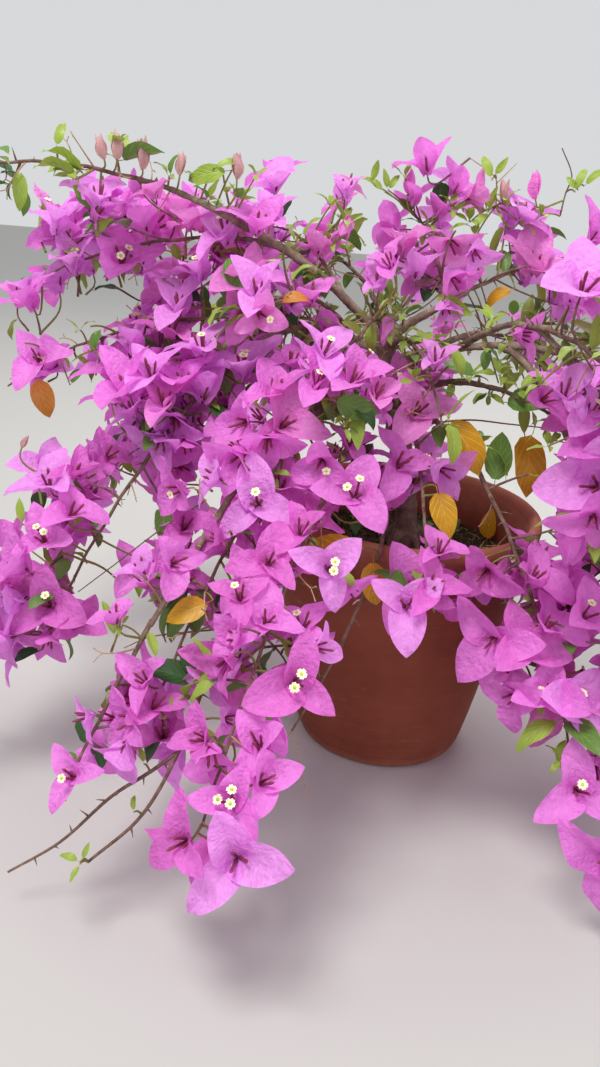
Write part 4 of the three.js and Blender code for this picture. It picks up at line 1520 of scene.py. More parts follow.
def bent_midrib(start, length, rows, heading):
    """The centre function of a blade whose midrib bends in its own plane as heading(v) says."""
    steps = 4 * rows
    spine = [(start, 0.0)]
    for i in range(steps):
        along_x, along_z = heading((i + 0.5) / steps)
        x, z = spine[-1]
        spine.append((x + along_x * length / steps, z + along_z * length / steps))

    def centre(v):
        along = heading(v)
        return spine[round(v * steps)], (-along[1], along[0]), along

    return centre


def bract_mesh(name, form, seed):
    """A papery bract: ovate with a heart-shaped root, cupped there, and bent out towards its tip."""
    settings = bpy.context.scene.bush.bloom
    dice = random.Random(seed)
    length = settings.bract_length
    half_width = settings.bract_width / 2 * mix(0.8, 1.12, seed % FORM_COPIES / (FORM_COPIES - 1))
    low, high, bend = OPENINGS[form]
    stray = 0.3 if form == "bud" else 1
    low = math.radians(low + dice.uniform(-5, 5) * stray)
    high = math.radians(high + dice.uniform(-14, 14) * stray)
    curl = math.radians(dice.uniform(-14, 26))
    frequency, phase, wave = dice.uniform(1.1, 2.1), dice.random(), dice.uniform(0.03, 0.06) * length
    trough_root = dice.uniform(0.45, 0.7) if form != "bud" else 0.95
    trough_tip = dice.uniform(-0.35, 0.12) if form != "bud" else 0.6
    crease = dice.uniform(0.05, 0.4)
    twist = math.radians(dice.uniform(-18, 18))
    pucker = 0.034 * length
    peak = 0.42**0.62 * 0.6**0.9
    if form == "bud":
        half_width *= 0.72
        twist = 0
        curl = 0
        pucker *= 0.3
        wave *= 0.2

    def heading(v):
        angle = mix(low, high, v**bend) + curl * smooth_step(0.6, 1, v)
        return math.sin(angle), math.cos(angle)

    def outline(v):
        return half_width * (v + 0.02) ** 0.62 * (1 - v) ** 0.9 / peak

    def lift(u, v, width):
        trough = mix(trough_root, trough_tip, v)
        height = width * (trough * abs(u) ** 1.8 + crease * abs(u) * (1 - 0.4 * v))
        side_phase = 0.35 if u > 0 else 0
        height += wave * math.sin(TURN * (frequency * v + phase + side_phase)) * u * u * (1 - 0.5 * v)
        height += width * u * math.tan(twist * v)
        height += pucker * noise.noise(Vector((u * 2.6 + seed, v * 5.5, seed * 0.37)))
        return height, 0.1 * length * abs(u) ** 1.5 * (1 - v) ** 4

    rows, columns = 11, 6
    return blade_mesh(name, rows, columns, outline, bent_midrib(0.0, length, rows, heading), lift)


def leaf_mesh(name, seed, is_narrow):
    """A leaf: ovate with a drawn-out tip, folded a little along its midrib and drooping."""
    settings = bpy.context.scene.bush.bloom
    dice = random.Random(seed)
    length = settings.leaf_length
    half_width = settings.leaf_width / 2 * (0.74 if is_narrow else 1.06)
    stalk = 0.16 * length
    droop = math.radians(dice.uniform(10, 75))
    rise = math.radians(dice.uniform(0, 18))
    fold = dice.uniform(0.1, 0.42)
    wave = dice.uniform(0.01, 0.035) * length
    phase = dice.random()
    peak = 0.4**0.6 * 0.62**0.95

    def heading(v):
        angle = rise - droop * v**1.3
        return math.cos(angle), math.sin(angle)

    def outline(v):
        return half_width * (v + 0.02) ** 0.6 * (1 - v) ** 0.95 / peak

    def lift(u, v, width):
        return width * fold * abs(u) + wave * math.sin(TURN * (1.6 * v + phase)) * u * abs(u), 0

    rows, columns = 7, 4
    stem = (-1 * MM, stalk + 0.08 * length, 0.4 * MM)
    return blade_mesh(name, rows, columns, outline, bent_midrib(stalk, length, rows, heading), lift, stem)


def tube_of_rings(name, rows, sides):
    """A closed tube from rows of height and radius."""
    vertices = [point for height, radius in rows for point in ring(radius, height, sides)]
    return mesh_from(name, vertices, wrapped_faces(len(rows), sides))


def tube_mesh(name, is_open):
    """A small flower's tube: swollen below, waisted, and wider again at its mouth or bud."""
    length = bpy.context.scene.bush.bloom.tube_length
    profile = [(0, 0.7), (0.17, 1.5), (0.52, 1.05)]
    profile += [(0.84, 1.15), (1, 1.6)] if is_open else [(0.86, 1.45), (1, 0.45)]
    return tube_of_rings(name, [(share * length, radius * MM) for share, radius in profile], 6)


def star_mesh(name):
    """The cream star at a tube's mouth: five lobes, each notched at its tip, closed below."""
    settings = bpy.context.scene.bush.bloom
    height = settings.tube_length
    outline = (0.7, 0.98, 0.88, 0.98)
    count = 5 * len(outline)
    vertices = [(0, 0, height + 0.1 * MM), (0, 0, height - 1.2 * MM)]
    faces = []
    for k in range(count):
        angle = k * TURN / count
        radius = settings.star_width / 2 * outline[k % len(outline)]
        rise = (0.9 if k % len(outline) == 2 else 0.5) * MM
        vertices.append((radius * math.cos(angle), radius * math.sin(angle), height + rise))
        following = (k + 1) % count
        faces.append((0, 2 + k, 2 + following))
        faces.append((1, 2 + following, 2 + k))
    return mesh_from(name, vertices, faces, smooth=False)


def eye_mesh(name):
    """The yellow-green mouth in the middle of a star."""
    settings = bpy.context.scene.bush.bloom
    height = settings.tube_length
    radius = settings.star_width * 0.17
    profile = ((-0.6, 0.9), (0.35, 1), (0.75, 0.55))
    return tube_of_rings(name, [(height + rise * MM, radius * share) for rise, share in profile], 8)


# Geometry Nodes

def set_input(tree, socket, value):
    """Links a socket to another one, or sets its value."""
    if isinstance(value, bpy.types.NodeSocket):
        tree.links.new(value, socket)
    else:
        socket.default_value = value


def add_node(tree, kind, inputs=None, **settings):
    """Adds a node, sets its own settings, and sets or links its inputs."""
    node = tree.nodes.new(kind)
    for key, value in settings.items():
        setattr(node, key, value)
    for key, value in (inputs or {}).items():
        set_input(tree, node.inputs[key], value)
    return node


def new_tree(name, **sockets):
    """A Geometry Nodes tree with a geometry in and out, and the named inputs; gives its inputs too."""
    tree = bpy.data.node_groups.new(name, "GeometryNodeTree")
    tree.interface.new_socket("Geometry", in_out="INPUT", socket_type="NodeSocketGeometry")
    for key, kind in {**sockets, "material": "Material"}.items():
        tree.interface.new_socket(key, in_out="INPUT", socket_type="NodeSocket" + kind)
    tree.interface.new_socket("Geometry", in_out="OUTPUT", socket_type="NodeSocketGeometry")
    return tree, tree.nodes.new("NodeGroupInput").outputs


def finish_tree(tree, source, geometry):
    """Makes the copies real, paints them with the tree's material and sends them out."""
    real = add_node(tree, "GeometryNodeRealizeInstances", {"Geometry": geometry})
    parts = {"Geometry": real.outputs["Geometry"], "Material": source["material"]}
    painted = add_node(tree, "GeometryNodeSetMaterial", parts)
    add_node(tree, "NodeGroupOutput", {"Geometry": painted.outputs["Geometry"]})
    return tree


def copies_on_points(tree, source, points, turns, sizes, picks):
    """One of the tree's shapes on each point; picks may hold each point's shape; else they take turns."""
    parts = {"Collection": source["shapes"], "Separate Children": True, "Reset Children": True}
    shapes = add_node(tree, "GeometryNodeCollectionInfo", parts).outputs["Instances"]
    parts = {"Points": points, "Instance": shapes, "Pick Instance": True, "Rotation": turns, "Scale": sizes}
    return add_node(tree, "GeometryNodeInstanceOnPoints", parts | picks).outputs["Instances"]


def attribute_node(tree, name, data_type):
    node = add_node(tree, "GeometryNodeInputNamedAttribute", {"Name": name}, data_type=data_type)
    return node.outputs["Attribute"]


@functools.cache
def copies_tree():
    """Puts one of several shapes on each point, by the point's own turn, size and shape."""
    tree, source = new_tree("Copies on points", shapes="Collection")
    turns = attribute_node(tree, "turn", "FLOAT_VECTOR")
    sizes = attribute_node(tree, "size", "FLOAT")
    picks = {"Instance Index": attribute_node(tree, "shape", "INT")}
    return finish_tree(tree, source, copies_on_points(tree, source, source["Geometry"], turns, sizes, picks))


@functools.cache
def stems_tree():
    """Turns lines with a width at each point into round stems."""
    tree, source = new_tree("Stems along lines", sides="Int")
    lines = add_node(tree, "GeometryNodeMeshToCurve", {"Mesh": source["Geometry"]})
    parts = {"Resolution": source["sides"], "Radius": 1.0}
    section = add_node(tree, "GeometryNodeCurvePrimitiveCircle", parts)
    parts = {
        "Curve": lines.outputs["Curve"],
        "Profile Curve": section.outputs["Curve"],
        "Scale": attribute_node(tree, "width", "FLOAT"),
        "Fill Caps": True,
    }
    stems = add_node(tree, "GeometryNodeCurveToMesh", parts)
    smooth = add_node(tree, "GeometryNodeSetShadeSmooth", {"Geometry": stems.outputs["Mesh"]})
    return finish_tree(tree, source, smooth.outputs["Geometry"])


@functools.cache
def scatter_tree():
    """Scatters shapes over faces, upright, with random turns and sizes from a fixed seed."""
    sizes = {"least_size": "Float", "most_size": "Float"}
    tree, source = new_tree("Scatter on soil", shapes="Collection", density="Float", seed="Int", **sizes)
    seed = {"Seed": source["seed"]}
    parts = {"Mesh": source["Geometry"], "Density": source["density"]}
    points = add_node(tree, "GeometryNodeDistributePointsOnFaces", parts | seed).outputs["Points"]
    parts = {2: source["least_size"], 3: source["most_size"]}
    sizes = add_node(tree, "FunctionNodeRandomValue", parts | seed, data_type="FLOAT").outputs[1]
    parts = {0: (-0.5, -0.5, 0), 1: (0.5, 0.5, TURN)}
    turns = add_node(tree, "FunctionNodeRandomValue", parts | seed, data_type="FLOAT_VECTOR").outputs[0]
    return finish_tree(tree, source, copies_on_points(tree, source, points, turns, sizes, {}))


def run_tree(source, tree, name, **values):
    """Runs a tree on an object and gives the result as a plain mesh object."""
    modifier = source.modifiers.new("Nodes", "NODES")
    modifier.node_group = tree
    identifiers = {
        item.name: item.identifier
        for item in tree.interface.items_tree
        if item.item_type == "SOCKET" and item.in_out == "INPUT"
    }
    for key, value in values.items():
        modifier[identifiers[key]] = value
    bpy.context.view_layer.update()
    return plain_mesh(source, name)


def shape_collection(name, meshes):
    """A collection with one object for each shape, in the order of their names."""
    collection = bpy.data.collections.new(name)
    bpy.context.scene.collection.children.link(collection)
    for mesh in meshes:
        collection.objects.link(bpy.data.objects.new(mesh.name, mesh))
    return collection


def remove_collection(collection):
    for shape in list(collection.objects):
        bpy.data.objects.remove(shape)
    bpy.data.collections.remove(collection)


def copies_piece(name, rows, shapes, material, slot):
    """One piece of all the copies in rows."""
    mesh = bpy.data.meshes.new(name)
    mesh.from_pydata([tuple(row.place * MM) for row in rows], [], [])
    turns = [Matrix(row.axes.tolist()).to_euler() for row in rows]
    for key, data_type, field, flat in (
        ("turn", "FLOAT_VECTOR", "vector", [c for turn in turns for c in turn]),
        ("size", "FLOAT", "value", [row.size for row in rows]),
        ("shape", "INT", "value", [row.shape for row in rows]),
    ):
        mesh.attributes.new(key, data_type, "POINT").data.foreach_set(field, flat)
    source = new_object(name + "_points", mesh)
    piece = run_tree(source, copies_tree(), name, shapes=shapes, material=material)
    finish_piece(piece, slot, *nodes_of("foliage_"))


def stems_piece(name, twigs, material, slot):
    """One piece of all the twigs, each a path with a half width at each point."""
    vertices = []
    edges = []
    widths = []
    for path, path_widths in twigs:
        first = len(vertices)
        vertices += [tuple(point * MM) for point in path]
        widths += [float(width) * MM for width in path_widths]
        edges += [(first + i, first + i + 1) for i in range(len(path) - 1)]
    mesh = bpy.data.meshes.new(name)
    mesh.from_pydata(vertices, edges, [])
    mesh.attributes.new("width", "FLOAT", "POINT").data.foreach_set("value", widths)
    sides = bpy.context.scene.bush.wood.twig_sides
    source = new_object(name + "_lines", mesh)
    piece = run_tree(source, stems_tree(), name, sides=sides, material=material)
    finish_piece(piece, slot, *nodes_of("foliage_"))


# Trunk and boughs

def wobble(curve, share, seed, amount):
    """A small sideways wander of a limb, nothing at its ends."""
    fade = math.sin(math.pi * min(1, max(0, share)))
    place = Vector((share * curve.length() / 38, seed * 3.7, 0.5))
    side, other = cross_axes(curve.tangent(share), level_across(*curve.handles[::3]))
    return (side * noise.noise(place) + other * noise.noise(place + Vector((0, 0, 9)))) * amount * fade


def add_limb(vertices, faces, curve, radius, start, end, seed, amount, sides=14):
    """Adds a limb as a closed tube of rings, wider at its nodes and oval; radius is that at each share."""
    length = curve.length()
    count = max(6, round(length * (end - start) / RING_STEP))
    faces += wrapped_faces(count + 1, sides, len(vertices))
    sideways = level_across(*curve.handles[::3])
    for i in range(count + 1):
        share = mix(start, end, i / count)
        side, other = cross_axes(curve.tangent(share), sideways)
        middle = curve.point(share) + wobble(curve, share, seed, amount)
        run = share * length
        swelling = 1 + 0.13 * math.exp(-((run % 27 - 13) ** 2) / 9)
        base = radius(share) * swelling * (1 + 0.12 * noise.noise(Vector((run / 16, seed * 1.9, 0))))
        for k in range(sides):
            angle = k * TURN / sides
            oval = 1 + 0.07 * math.cos(2 * angle + run / 30 + seed)
            point = middle + (side * math.cos(angle) + other * math.sin(angle)) * base * oval
            vertices.append(tuple(point * MM))


def root_flare():
    """Short roots that fan out from the trunk's foot and dip under the soil: each one's curve and radius."""
    foot = np.array(TRUNK["foot"], float)
    rows = []
    for k, azimuth in enumerate((20, 95, 165, 235, 300)):
        angle = math.radians(azimuth)
        out = np.array((math.cos(angle), math.sin(angle), 0))
        start = foot + out * 6 + UP * 16
        end = foot + out * (27 + 4 * (k % 2)) - UP * 6
        rows.append((Curve(start, start + out * 8 - UP * 4, end - out * 6 + UP * 4, end), 6.2 - 0.4 * k))
    return rows


def limbs_mesh():
    """The trunk, its roots and all boughs as overlapping closed tubes."""
    vertices = []
    faces = []
    add_limb(vertices, faces, trunk_curve(), trunk_radius, -0.03, 1.01, 1, 1.5, sides=22)
    for k, (curve, root) in enumerate(root_flare()):
        def root_radius(share, root=root):
            return mix(root, root * 0.5, share)
        add_limb(vertices, faces, curve, root_radius, 0, 1, 40 + k, 0.5)
    for cane in grow_by_rule()[0]:
        def radius_at(share, cane=cane):
            collar = 1 + 0.3 * math.exp(-share * cane.curve.length() / 10)
            return cane.radius(max(0, share)) * collar * LIMB_SHARE
        add_limb(vertices, faces, cane.curve, radius_at, 0, cane.leafy_share, cane.index + 2, 3)
    return mesh_from("limbs", vertices, faces)


def limb_directions():
    """Points along all limbs with the direction of the limb there."""
    rows = []
    for curve in [trunk_curve()] + [cane.curve for cane in grow_by_rule()[0]]:
        count = round(curve.length() / 4)
        rows += [(curve.point(i / count), curve.tangent(i / count)) for i in range(count + 1)]
    return rows


def carve_bark(mesh, depth):
    """Furrows that run along the limbs, and low knobs."""
    rows = limb_directions()
    tree = kdtree.KDTree(len(rows))
    for i, (point, _) in enumerate(rows):
        tree.insert(Vector(point) * MM, i)
    tree.balance()
    moved = []
    for vertex in mesh.vertices:
        _, i, _ = tree.find(vertex.co)
        along = Vector(rows[i][1])
        flat = (vertex.co - along * vertex.co.dot(along) * 0.86) / MM
        furrow = 1 - 2 * abs(noise.noise(flat / 2.3))
        knob = noise.noise(vertex.co / MM / 7)
        moved.append(vertex.co + vertex.normal * depth * (furrow * 0.7 + knob * 0.9))
    mesh.vertices.foreach_set("co", [c for place in moved for c in place])
    mesh.update()


# Materials

def rgba(colour):
    """A hex colour, or linear red, green and blue, as a colour with full opacity."""
    return (*(linear(colour) if isinstance(colour, str) else colour), 1)


def shade(colour, factor, lift=0):
    """A linear colour made darker or paler."""
    return tuple(min(1, c * factor + lift) for c in colour)


def new_material(name, base, roughness, specular=0.5):
    """A Principled material; gives it, its tree and its shader."""
    material = bpy.data.materials.new(name)
    material.use_nodes = True
    shader = material.node_tree.nodes["Principled BSDF"]
    shader.inputs["Base Color"].default_value = rgba(base)
    shader.inputs["Roughness"].default_value = roughness
    shader.inputs["Specular IOR Level"].default_value = specular
    return material, material.node_tree, shader


def object_coordinates(tree, scale=(1, 1, 1)):
    coordinates = tree.nodes.new("ShaderNodeTexCoord").outputs["Object"]
    if scale == (1, 1, 1):
        return coordinates
    return add_node(tree, "ShaderNodeMapping", {"Vector": coordinates, "Scale": scale}).outputs["Vector"]


def noise_node(tree, size, detail=3.0, roughness=0.5, scale=(1, 1, 1)):
    """Noise whose largest feature is size metres across."""
    parts = {"Vector": object_coordinates(tree, scale), "Scale": 1 / size}
    parts |= {"Detail": detail, "Roughness": roughness}
    return add_node(tree, "ShaderNodeTexNoise", parts).outputs["Fac"]


def ramp_node(tree, value, *stops):
    """A colour ramp through pairs of position and colour."""
    node = add_node(tree, "ShaderNodeValToRGB", {"Fac": value})
    elements = node.color_ramp.elements
    while len(elements) < len(stops):
        elements.new(0.5)
    for element, (position, colour) in zip(elements, stops):
        element.position = position
        element.color = rgba(colour)
    return node.outputs["Color"]


def mix_colours(tree, share, low, high):
    low, high = [side if isinstance(side, bpy.types.NodeSocket) else rgba(side) for side in (low, high)]
    return add_node(tree, "ShaderNodeMix", {0: share, 6: low, 7: high}, data_type="RGBA").outputs[2]


def maths(tree, operation, first, second=0.0, clamp=False):
    parts = {0: first, 1: second}
    return add_node(tree, "ShaderNodeMath", parts, operation=operation, use_clamp=clamp).outputs["Value"]


def times(tree, first, second, clamp=False):
    return maths(tree, "MULTIPLY", first, second, clamp)


def ramp_share(tree, value, low, high, most):
    """A share from 0 to most, as the value goes from low to high."""
    parts = {"Value": value, "From Min": low, "From Max": high, "To Min": 0.0, "To Max": most}
    return add_node(tree, "ShaderNodeMapRange", parts).outputs["Result"]


def paint(tree, shader, colour, height, distance, strength):
    """Sets a shader's colour and the relief that its light shows."""
    tree.links.new(colour, shader.inputs["Base Color"])
    parts = {"Height": height, "Distance": distance, "Strength": strength}
    tree.links.new(add_node(tree, "ShaderNodeBump", parts).outputs["Normal"], shader.inputs["Normal"])


def let_light_through(tree, shader, colour, share):
    """Adds the light that a thin blade lets through from behind."""
    thin = add_node(tree, "ShaderNodeBsdfTranslucent", {"Color": colour})
    parts = {0: share, 1: shader.outputs["BSDF"], 2: thin.outputs["BSDF"]}
    both = add_node(tree, "ShaderNodeMixShader", parts)
    output = next(node for node in tree.nodes if node.type == "OUTPUT_MATERIAL")
    tree.links.new(both.outputs["Shader"], output.inputs["Surface"])


def vein_height(tree, pairs, slant):
    """A midrib and pairs of side veins from a blade's own UV map, 1 on a vein."""
    uv = add_node(tree, "ShaderNodeUVMap", uv_map="UVMap").outputs["UV"]
    parts = add_node(tree, "ShaderNodeSeparateXYZ", {"Vector": uv}).outputs
    off_middle = maths(tree, "ABSOLUTE", maths(tree, "SUBTRACT", parts["X"], 0.5))
    midrib = maths(tree, "SUBTRACT", 1.0, times(tree, off_middle, 26.0), clamp=True)
    run = maths(tree, "SUBTRACT", parts["Y"], times(tree, off_middle, slant))
    wave = maths(tree, "SINE", times(tree, run, pairs * TURN))
    sides = times(tree, maths(tree, "SUBTRACT", wave, 0.72), 3.4, clamp=True)
    return maths(tree, "MAXIMUM", midrib, sides)


def papery_bract(name, base):
    """Living bract tissue: thin as paper, softly crinkled between fine veins, with light in its shade."""
    material, tree, shader = new_material(name, base, 0.5, specular=0.4)
    veins = vein_height(tree, 5.5, 0.75)
    blotched = ramp_node(tree, noise_node(tree, 0.006, 4), (0.35, base), (0.72, shade(base, 1.12, 0.03)))
    colour = mix_colours(tree, times(tree, veins, 0.16), blotched, shade(base, 0.8))
    crinkle = times(tree, noise_node(tree, 0.0042, 2), 1.2)
    parts = {"Vector": object_coordinates(tree), "Scale": 1 / 0.0034}
    quilt = add_node(tree, "ShaderNodeTexVoronoi", parts, feature="DISTANCE_TO_EDGE")
    pads = times(tree, quilt.outputs["Distance"], 2.2, clamp=True)
    height = maths(tree, "ADD", crinkle, times(tree, pads, 0.2))
    height = maths(tree, "SUBTRACT", height, times(tree, veins, 0.05))
    paint(tree, shader, colour, height, 0.0028, 0.25 if name == "bract_salmon" else 0.62)
    let_light_through(tree, shader, colour, 0.45)
    return material


def waxy_leaf(name, base):
    """A living leaf: a waxy skin with a soft gloss, and paler veins."""
    material, tree, shader = new_material(name, base, 0.42)
    veins = vein_height(tree, 5.5, 0.8)
    blotched = ramp_node(tree, noise_node(tree, 0.008), (0.3, shade(base, 0.82)), (0.75, base))
    colour = mix_colours(tree, times(tree, veins, 0.6), blotched, shade(base, 1.25, 0.05))
    paint(tree, shader, colour, veins, 0.0005, 0.5)
    let_light_through(tree, shader, colour, 0.25)
    return material


def woody_bark(name, dark, mid, pale, grain):
    """Bark of a cane: corky, matt, with paler ridges and dark cracks."""
    material, tree, shader = new_material(name, mid, 0.85, specular=0.25)
    broad = noise_node(tree, grain * 5, 4, 0.6)
    fine = noise_node(tree, grain, 5, 0.65)
    colour = ramp_node(tree, broad, (0.3, dark), (0.5, mid), (0.68, pale))
    cracked = mix_colours(tree, times(tree, fine, 0.9), dark, colour)
    paint(tree, shader, cracked, fine, grain * 0.6, 0.8)
    return material


def plain_tissue(name, hex_colour, roughness, grain):
    """Soft plant tissue of one colour with a slight mottle."""
    base = linear(hex_colour)
    material, tree, shader = new_material(name, base, roughness, specular=0.4)
    cloud = noise_node(tree, grain)
    colour = ramp_node(tree, cloud, (0.3, shade(base, 0.75)), (0.7, shade(base, 1.15)))
    paint(tree, shader, colour, cloud, grain * 0.2, 0.4)
    return material


def terracotta():
    """Low-fired clay thrown on a wheel: open, dry and matt, stained by water, worn pale at its foot, and
    paler at its rim from wear and a painted highlight on the lip.
    """
    material, tree, shader = new_material("terracotta", "#7E3F2D", 0.86, specular=0.25)
    broad = noise_node(tree, 0.09, 4, 0.55)
    mottle = noise_node(tree, 0.012, 4, 0.6)
    grit = noise_node(tree, 0.0012, 2, 0.7)
    rings = noise_node(tree, 0.16, 3, 0.6, (1, 1, 26))
    clay = ramp_node(tree, broad, (0.3, "#6F3427"), (0.5, "#80402F"), (0.72, "#91503C"))
    clay = mix_colours(tree, times(tree, rings, 0.5), clay, "#6A3125")
    clay = mix_colours(tree, times(tree, mottle, 0.4), clay, "#91513B")
    height = add_node(tree, "ShaderNodeSeparateXYZ", {"Vector": object_coordinates(tree)}).outputs["Z"]
    ragged = maths(tree, "ADD", height, times(tree, maths(tree, "SUBTRACT", mottle, 0.5), 0.02))
    # Paler towards the rim: wear, and a painted highlight where the light falls on the lip
    rim = ramp_share(tree, ragged, 0.212, 0.25, 0.8)
    foot = ramp_share(tree, ragged, 0.014, 0.002, 0.6)
    # The foot is paler from wear; the rim's paleness is partly a painted highlight
    clay = mix_colours(tree, maths(tree, "MAXIMUM", rim, foot), clay, "#AC7058")
    scratch = noise_node(tree, 0.05, 6, 0.75, (1, 1, 9))
    scratches = times(tree, ramp_node(tree, scratch, (0.61, (0, 0, 0)), (0.68, (1, 1, 1))), 0.35)
    clay = mix_colours(tree, scratches, clay, "#A87458")
    relief = maths(tree, "ADD", times(tree, grit, 0.5), times(tree, rings, 1.2))
    paint(tree, shader, clay, relief, 0.0008, 0.5)
    return material


def potting_soil():
    """Damp potting soil: dark, crumbly and rough, with lighter grit."""
    material, tree, shader = new_material("potting_soil", "#3B2C20", 0.95, specular=0.2)
    lumps = noise_node(tree, 0.012, 6, 0.7)
    grit = noise_node(tree, 0.003, 3, 0.7)
    colour = ramp_node(tree, lumps, (0.3, "#241A13"), (0.5, "#3D2E21"), (0.7, "#5A4634"))
    paint(tree, shader, colour, maths(tree, "ADD", lumps, grit), 0.003, 0.9)
    return material


# Pot and soil

def pot_profile():
    """The wall's outline from the middle of the underside, round the foot, belly, rim and inside."""
    outside = [(0, 0), (40, 0), (78, 0), (81.2, 0.5), (83.8, 2.4), (85, 5.6), (86.6, 9)]
    outside += [(88.4, 16), (91, 28), (95.5, 52), (100, 80), (106.5, 116), (113, 153), (119.6, 192)]
    outside += [(124.4, 219), (125.6, 225), (127, 229), (128.8, 233), (129.8, 238), (129.6, 243)]
    rim = [(128.2, 246.8), (125.8, 249.2), (123.2, 249.8), (120.8, 248.6), (119, 245.8), (118, 241)]
    inside = [(117, 236), (115.6, 230), (114.4, 224), (112, 212), (110, 199), (90, 80), (80, 16), (0, 15)]
    return outside + rim + inside


def pot_mesh():
    """The thrown pot as one closed wall, with its rings and its slight want of roundness."""
    settings = bpy.context.scene.bush.pot
    points = [np.array((radius, height, 0.0)) for radius, height in pot_profile()]
    profile = [(radius, max(0, height)) for radius, height, _ in smooth_path(points, 2.6, 1)]
    vertices = [(0, 0, profile[0][1] * MM)]
    for radius, height in profile[1:-1]:
        fade = smooth_step(2, 14, height)
        for k in range(settings.segments):
            angle = k * TURN / settings.segments
            x, y = math.cos(angle), math.sin(angle)
            groove = math.sin(height * 0.95 + 0.35 * y) + 0.6 * math.sin(height * 0.41 + 1.3)
            groove += 0.8 * noise.noise(Vector((x * 0.7, y * 0.7, height / 7)))
            dent = noise.noise(Vector((x * 1.4, y * 1.4, height / 90)))
            wide = max(0, radius + fade * (groove * settings.ring_depth / MM + dent * 0.9))
            vertices.append((wide * x * MM, wide * y * MM, height * MM))
    vertices.append((0, 0, profile[-1][1] * MM))
    return mesh_from("pot_clay", vertices, wrapped_faces(len(profile) - 2, settings.segments, 1, True))


def soil_top(x, y):
    """The height of the soil in millimetres: a low mound with lumps, sunk at the wall."""
    mound = SOIL_HEIGHT - 5 * smooth_step(40, 108, math.hypot(x, y))
    lumps = noise.noise(Vector((x / 26, y / 26, 3))) * 3.2 + noise.noise(Vector((x / 8, y / 8, 7))) * 1.7
    return mound + lumps + noise.noise(Vector((x / 3, y / 3, 11))) * 0.9


def soil_mesh():
    """The soil as a closed bed: its rough top, a wall just inside the clay, and a flat underside."""
    segments, rings, reach = 144, 56, 109.2
    vertices = [(0, 0, soil_top(0, 0))]
    for i in range(1, rings + 1):
        vertices += [(x, y, soil_top(x, y)) for x, y, _ in ring(reach * i / rings, 0, segments)]
    for radius, height in ((97, 130), (79.5, 20)):
        vertices += ring(radius, height, segments)
    vertices.append((0, 0, 20))
    outward = wrapped_faces(rings + 2, segments, 1, True)
    faces = [(face[0], *face[:0:-1]) for face in outward]
    return mesh_from("soil_bed", np.array(vertices) * MM, faces)


def crumb_mesh(name, seed):
    """An angular crumb of soil or grit."""
    dice = random.Random(seed)
    sides = 6
    vertices = [(0, 0, -0.8)]
    for tilt in (math.pi / 3, math.pi * 2 / 3):
        for k in range(sides):
            angle = k * TURN / sides
            radius = math.sin(tilt) * dice.uniform(0.7, 1.15)
            height = -math.cos(tilt) * dice.uniform(0.6, 0.9)
            vertices.append((radius * math.cos(angle), radius * math.sin(angle), height))
    vertices.append((0, 0, 0.7))
    return mesh_from(name, np.array(vertices) * MM, wrapped_faces(2, sides, 1, True), smooth=False)


def blade_tuft(name, seed, blades, height, spread, width):
    """A tuft of narrow blades, each one bent strip."""
    dice = random.Random(seed)
    vertices = []
    faces = []
    for _ in range(blades):
        angle = dice.uniform(0, TURN)
        lean = dice.uniform(0.1, 1) * spread
        tall = height * dice.uniform(0.5, 1)
        out = np.array((math.cos(angle), math.sin(angle), 0))
        across = np.array((-math.sin(angle), math.cos(angle), 0)) * width
        first = len(vertices)
        for share in (0, 0.5):
            middle = out * lean * share * share + UP * tall * share
            vertices += [middle - across, middle + across]
        vertices.append(out * lean + UP * tall)
        faces += [(first, first + 1, first + 3, first + 2), (first + 2, first + 3, first + 4)]
    return mesh_from(name, np.array(vertices) * MM, faces)


def soil_patch(reach):
    """A copy of the soil's top, which the scatter stands on."""
    count = 36
    vertices = []
    faces = []
    for i in range(count + 1):
        for j in range(count + 1):
            x, y = mix(-reach, reach, i / count), mix(-reach, reach, j / count)
            vertices.append((x, y, soil_top(x, y)))
    for i in range(count):
        for j in range(count):
            x, y = mix(-reach, reach, (i + 0.5) / count), mix(-reach, reach, (j + 0.5) / count)
            is_trunk = math.hypot(x - TRUNK["foot"][0], y - TRUNK["foot"][1]) < 20
            if math.hypot(x, y) <= reach and not is_trunk:
                a = i * (count + 1) + j
                faces.append((a, a + count + 1, a + count + 2, a + 1))
    return mesh_from("soil_patch", np.array(vertices) * MM, faces)


def scattered_piece(name, meshes, material, density, seed, most_size, slot):
    shapes = shape_collection(name + "_shapes", meshes)
    values = {"shapes": shapes, "material": material, "density": density, "seed": seed}
    values |= {"least_size": 0.5, "most_size": most_size}
    piece = run_tree(new_object(name + "_bed", soil_patch(103)), scatter_tree(), name, **values)
    remove_collection(shapes)
    finish_piece(piece, slot, "soil")


# Operators

class BUSH_OT_stage(bpy.types.Operator):
    """Set the floor, the lights and the camera"""

    bl_idname = "bush.stage"
    bl_label = "Stage"

    def execute(self, context):
        make_floor()
        make_lights()
        make_camera()
        return {"FINISHED"}


class BUSH_OT_pot(bpy.types.Operator):
    """Build the clay pot"""

    bl_idname = "bush.pot"
    bl_label = "Pot"

    def execute(self, context):
        mesh = pot_mesh()
        mesh.materials.append(terracotta())
        finish_piece(new_object("pot_clay", mesh), "terracotta", "pot")
        return {"FINISHED"}


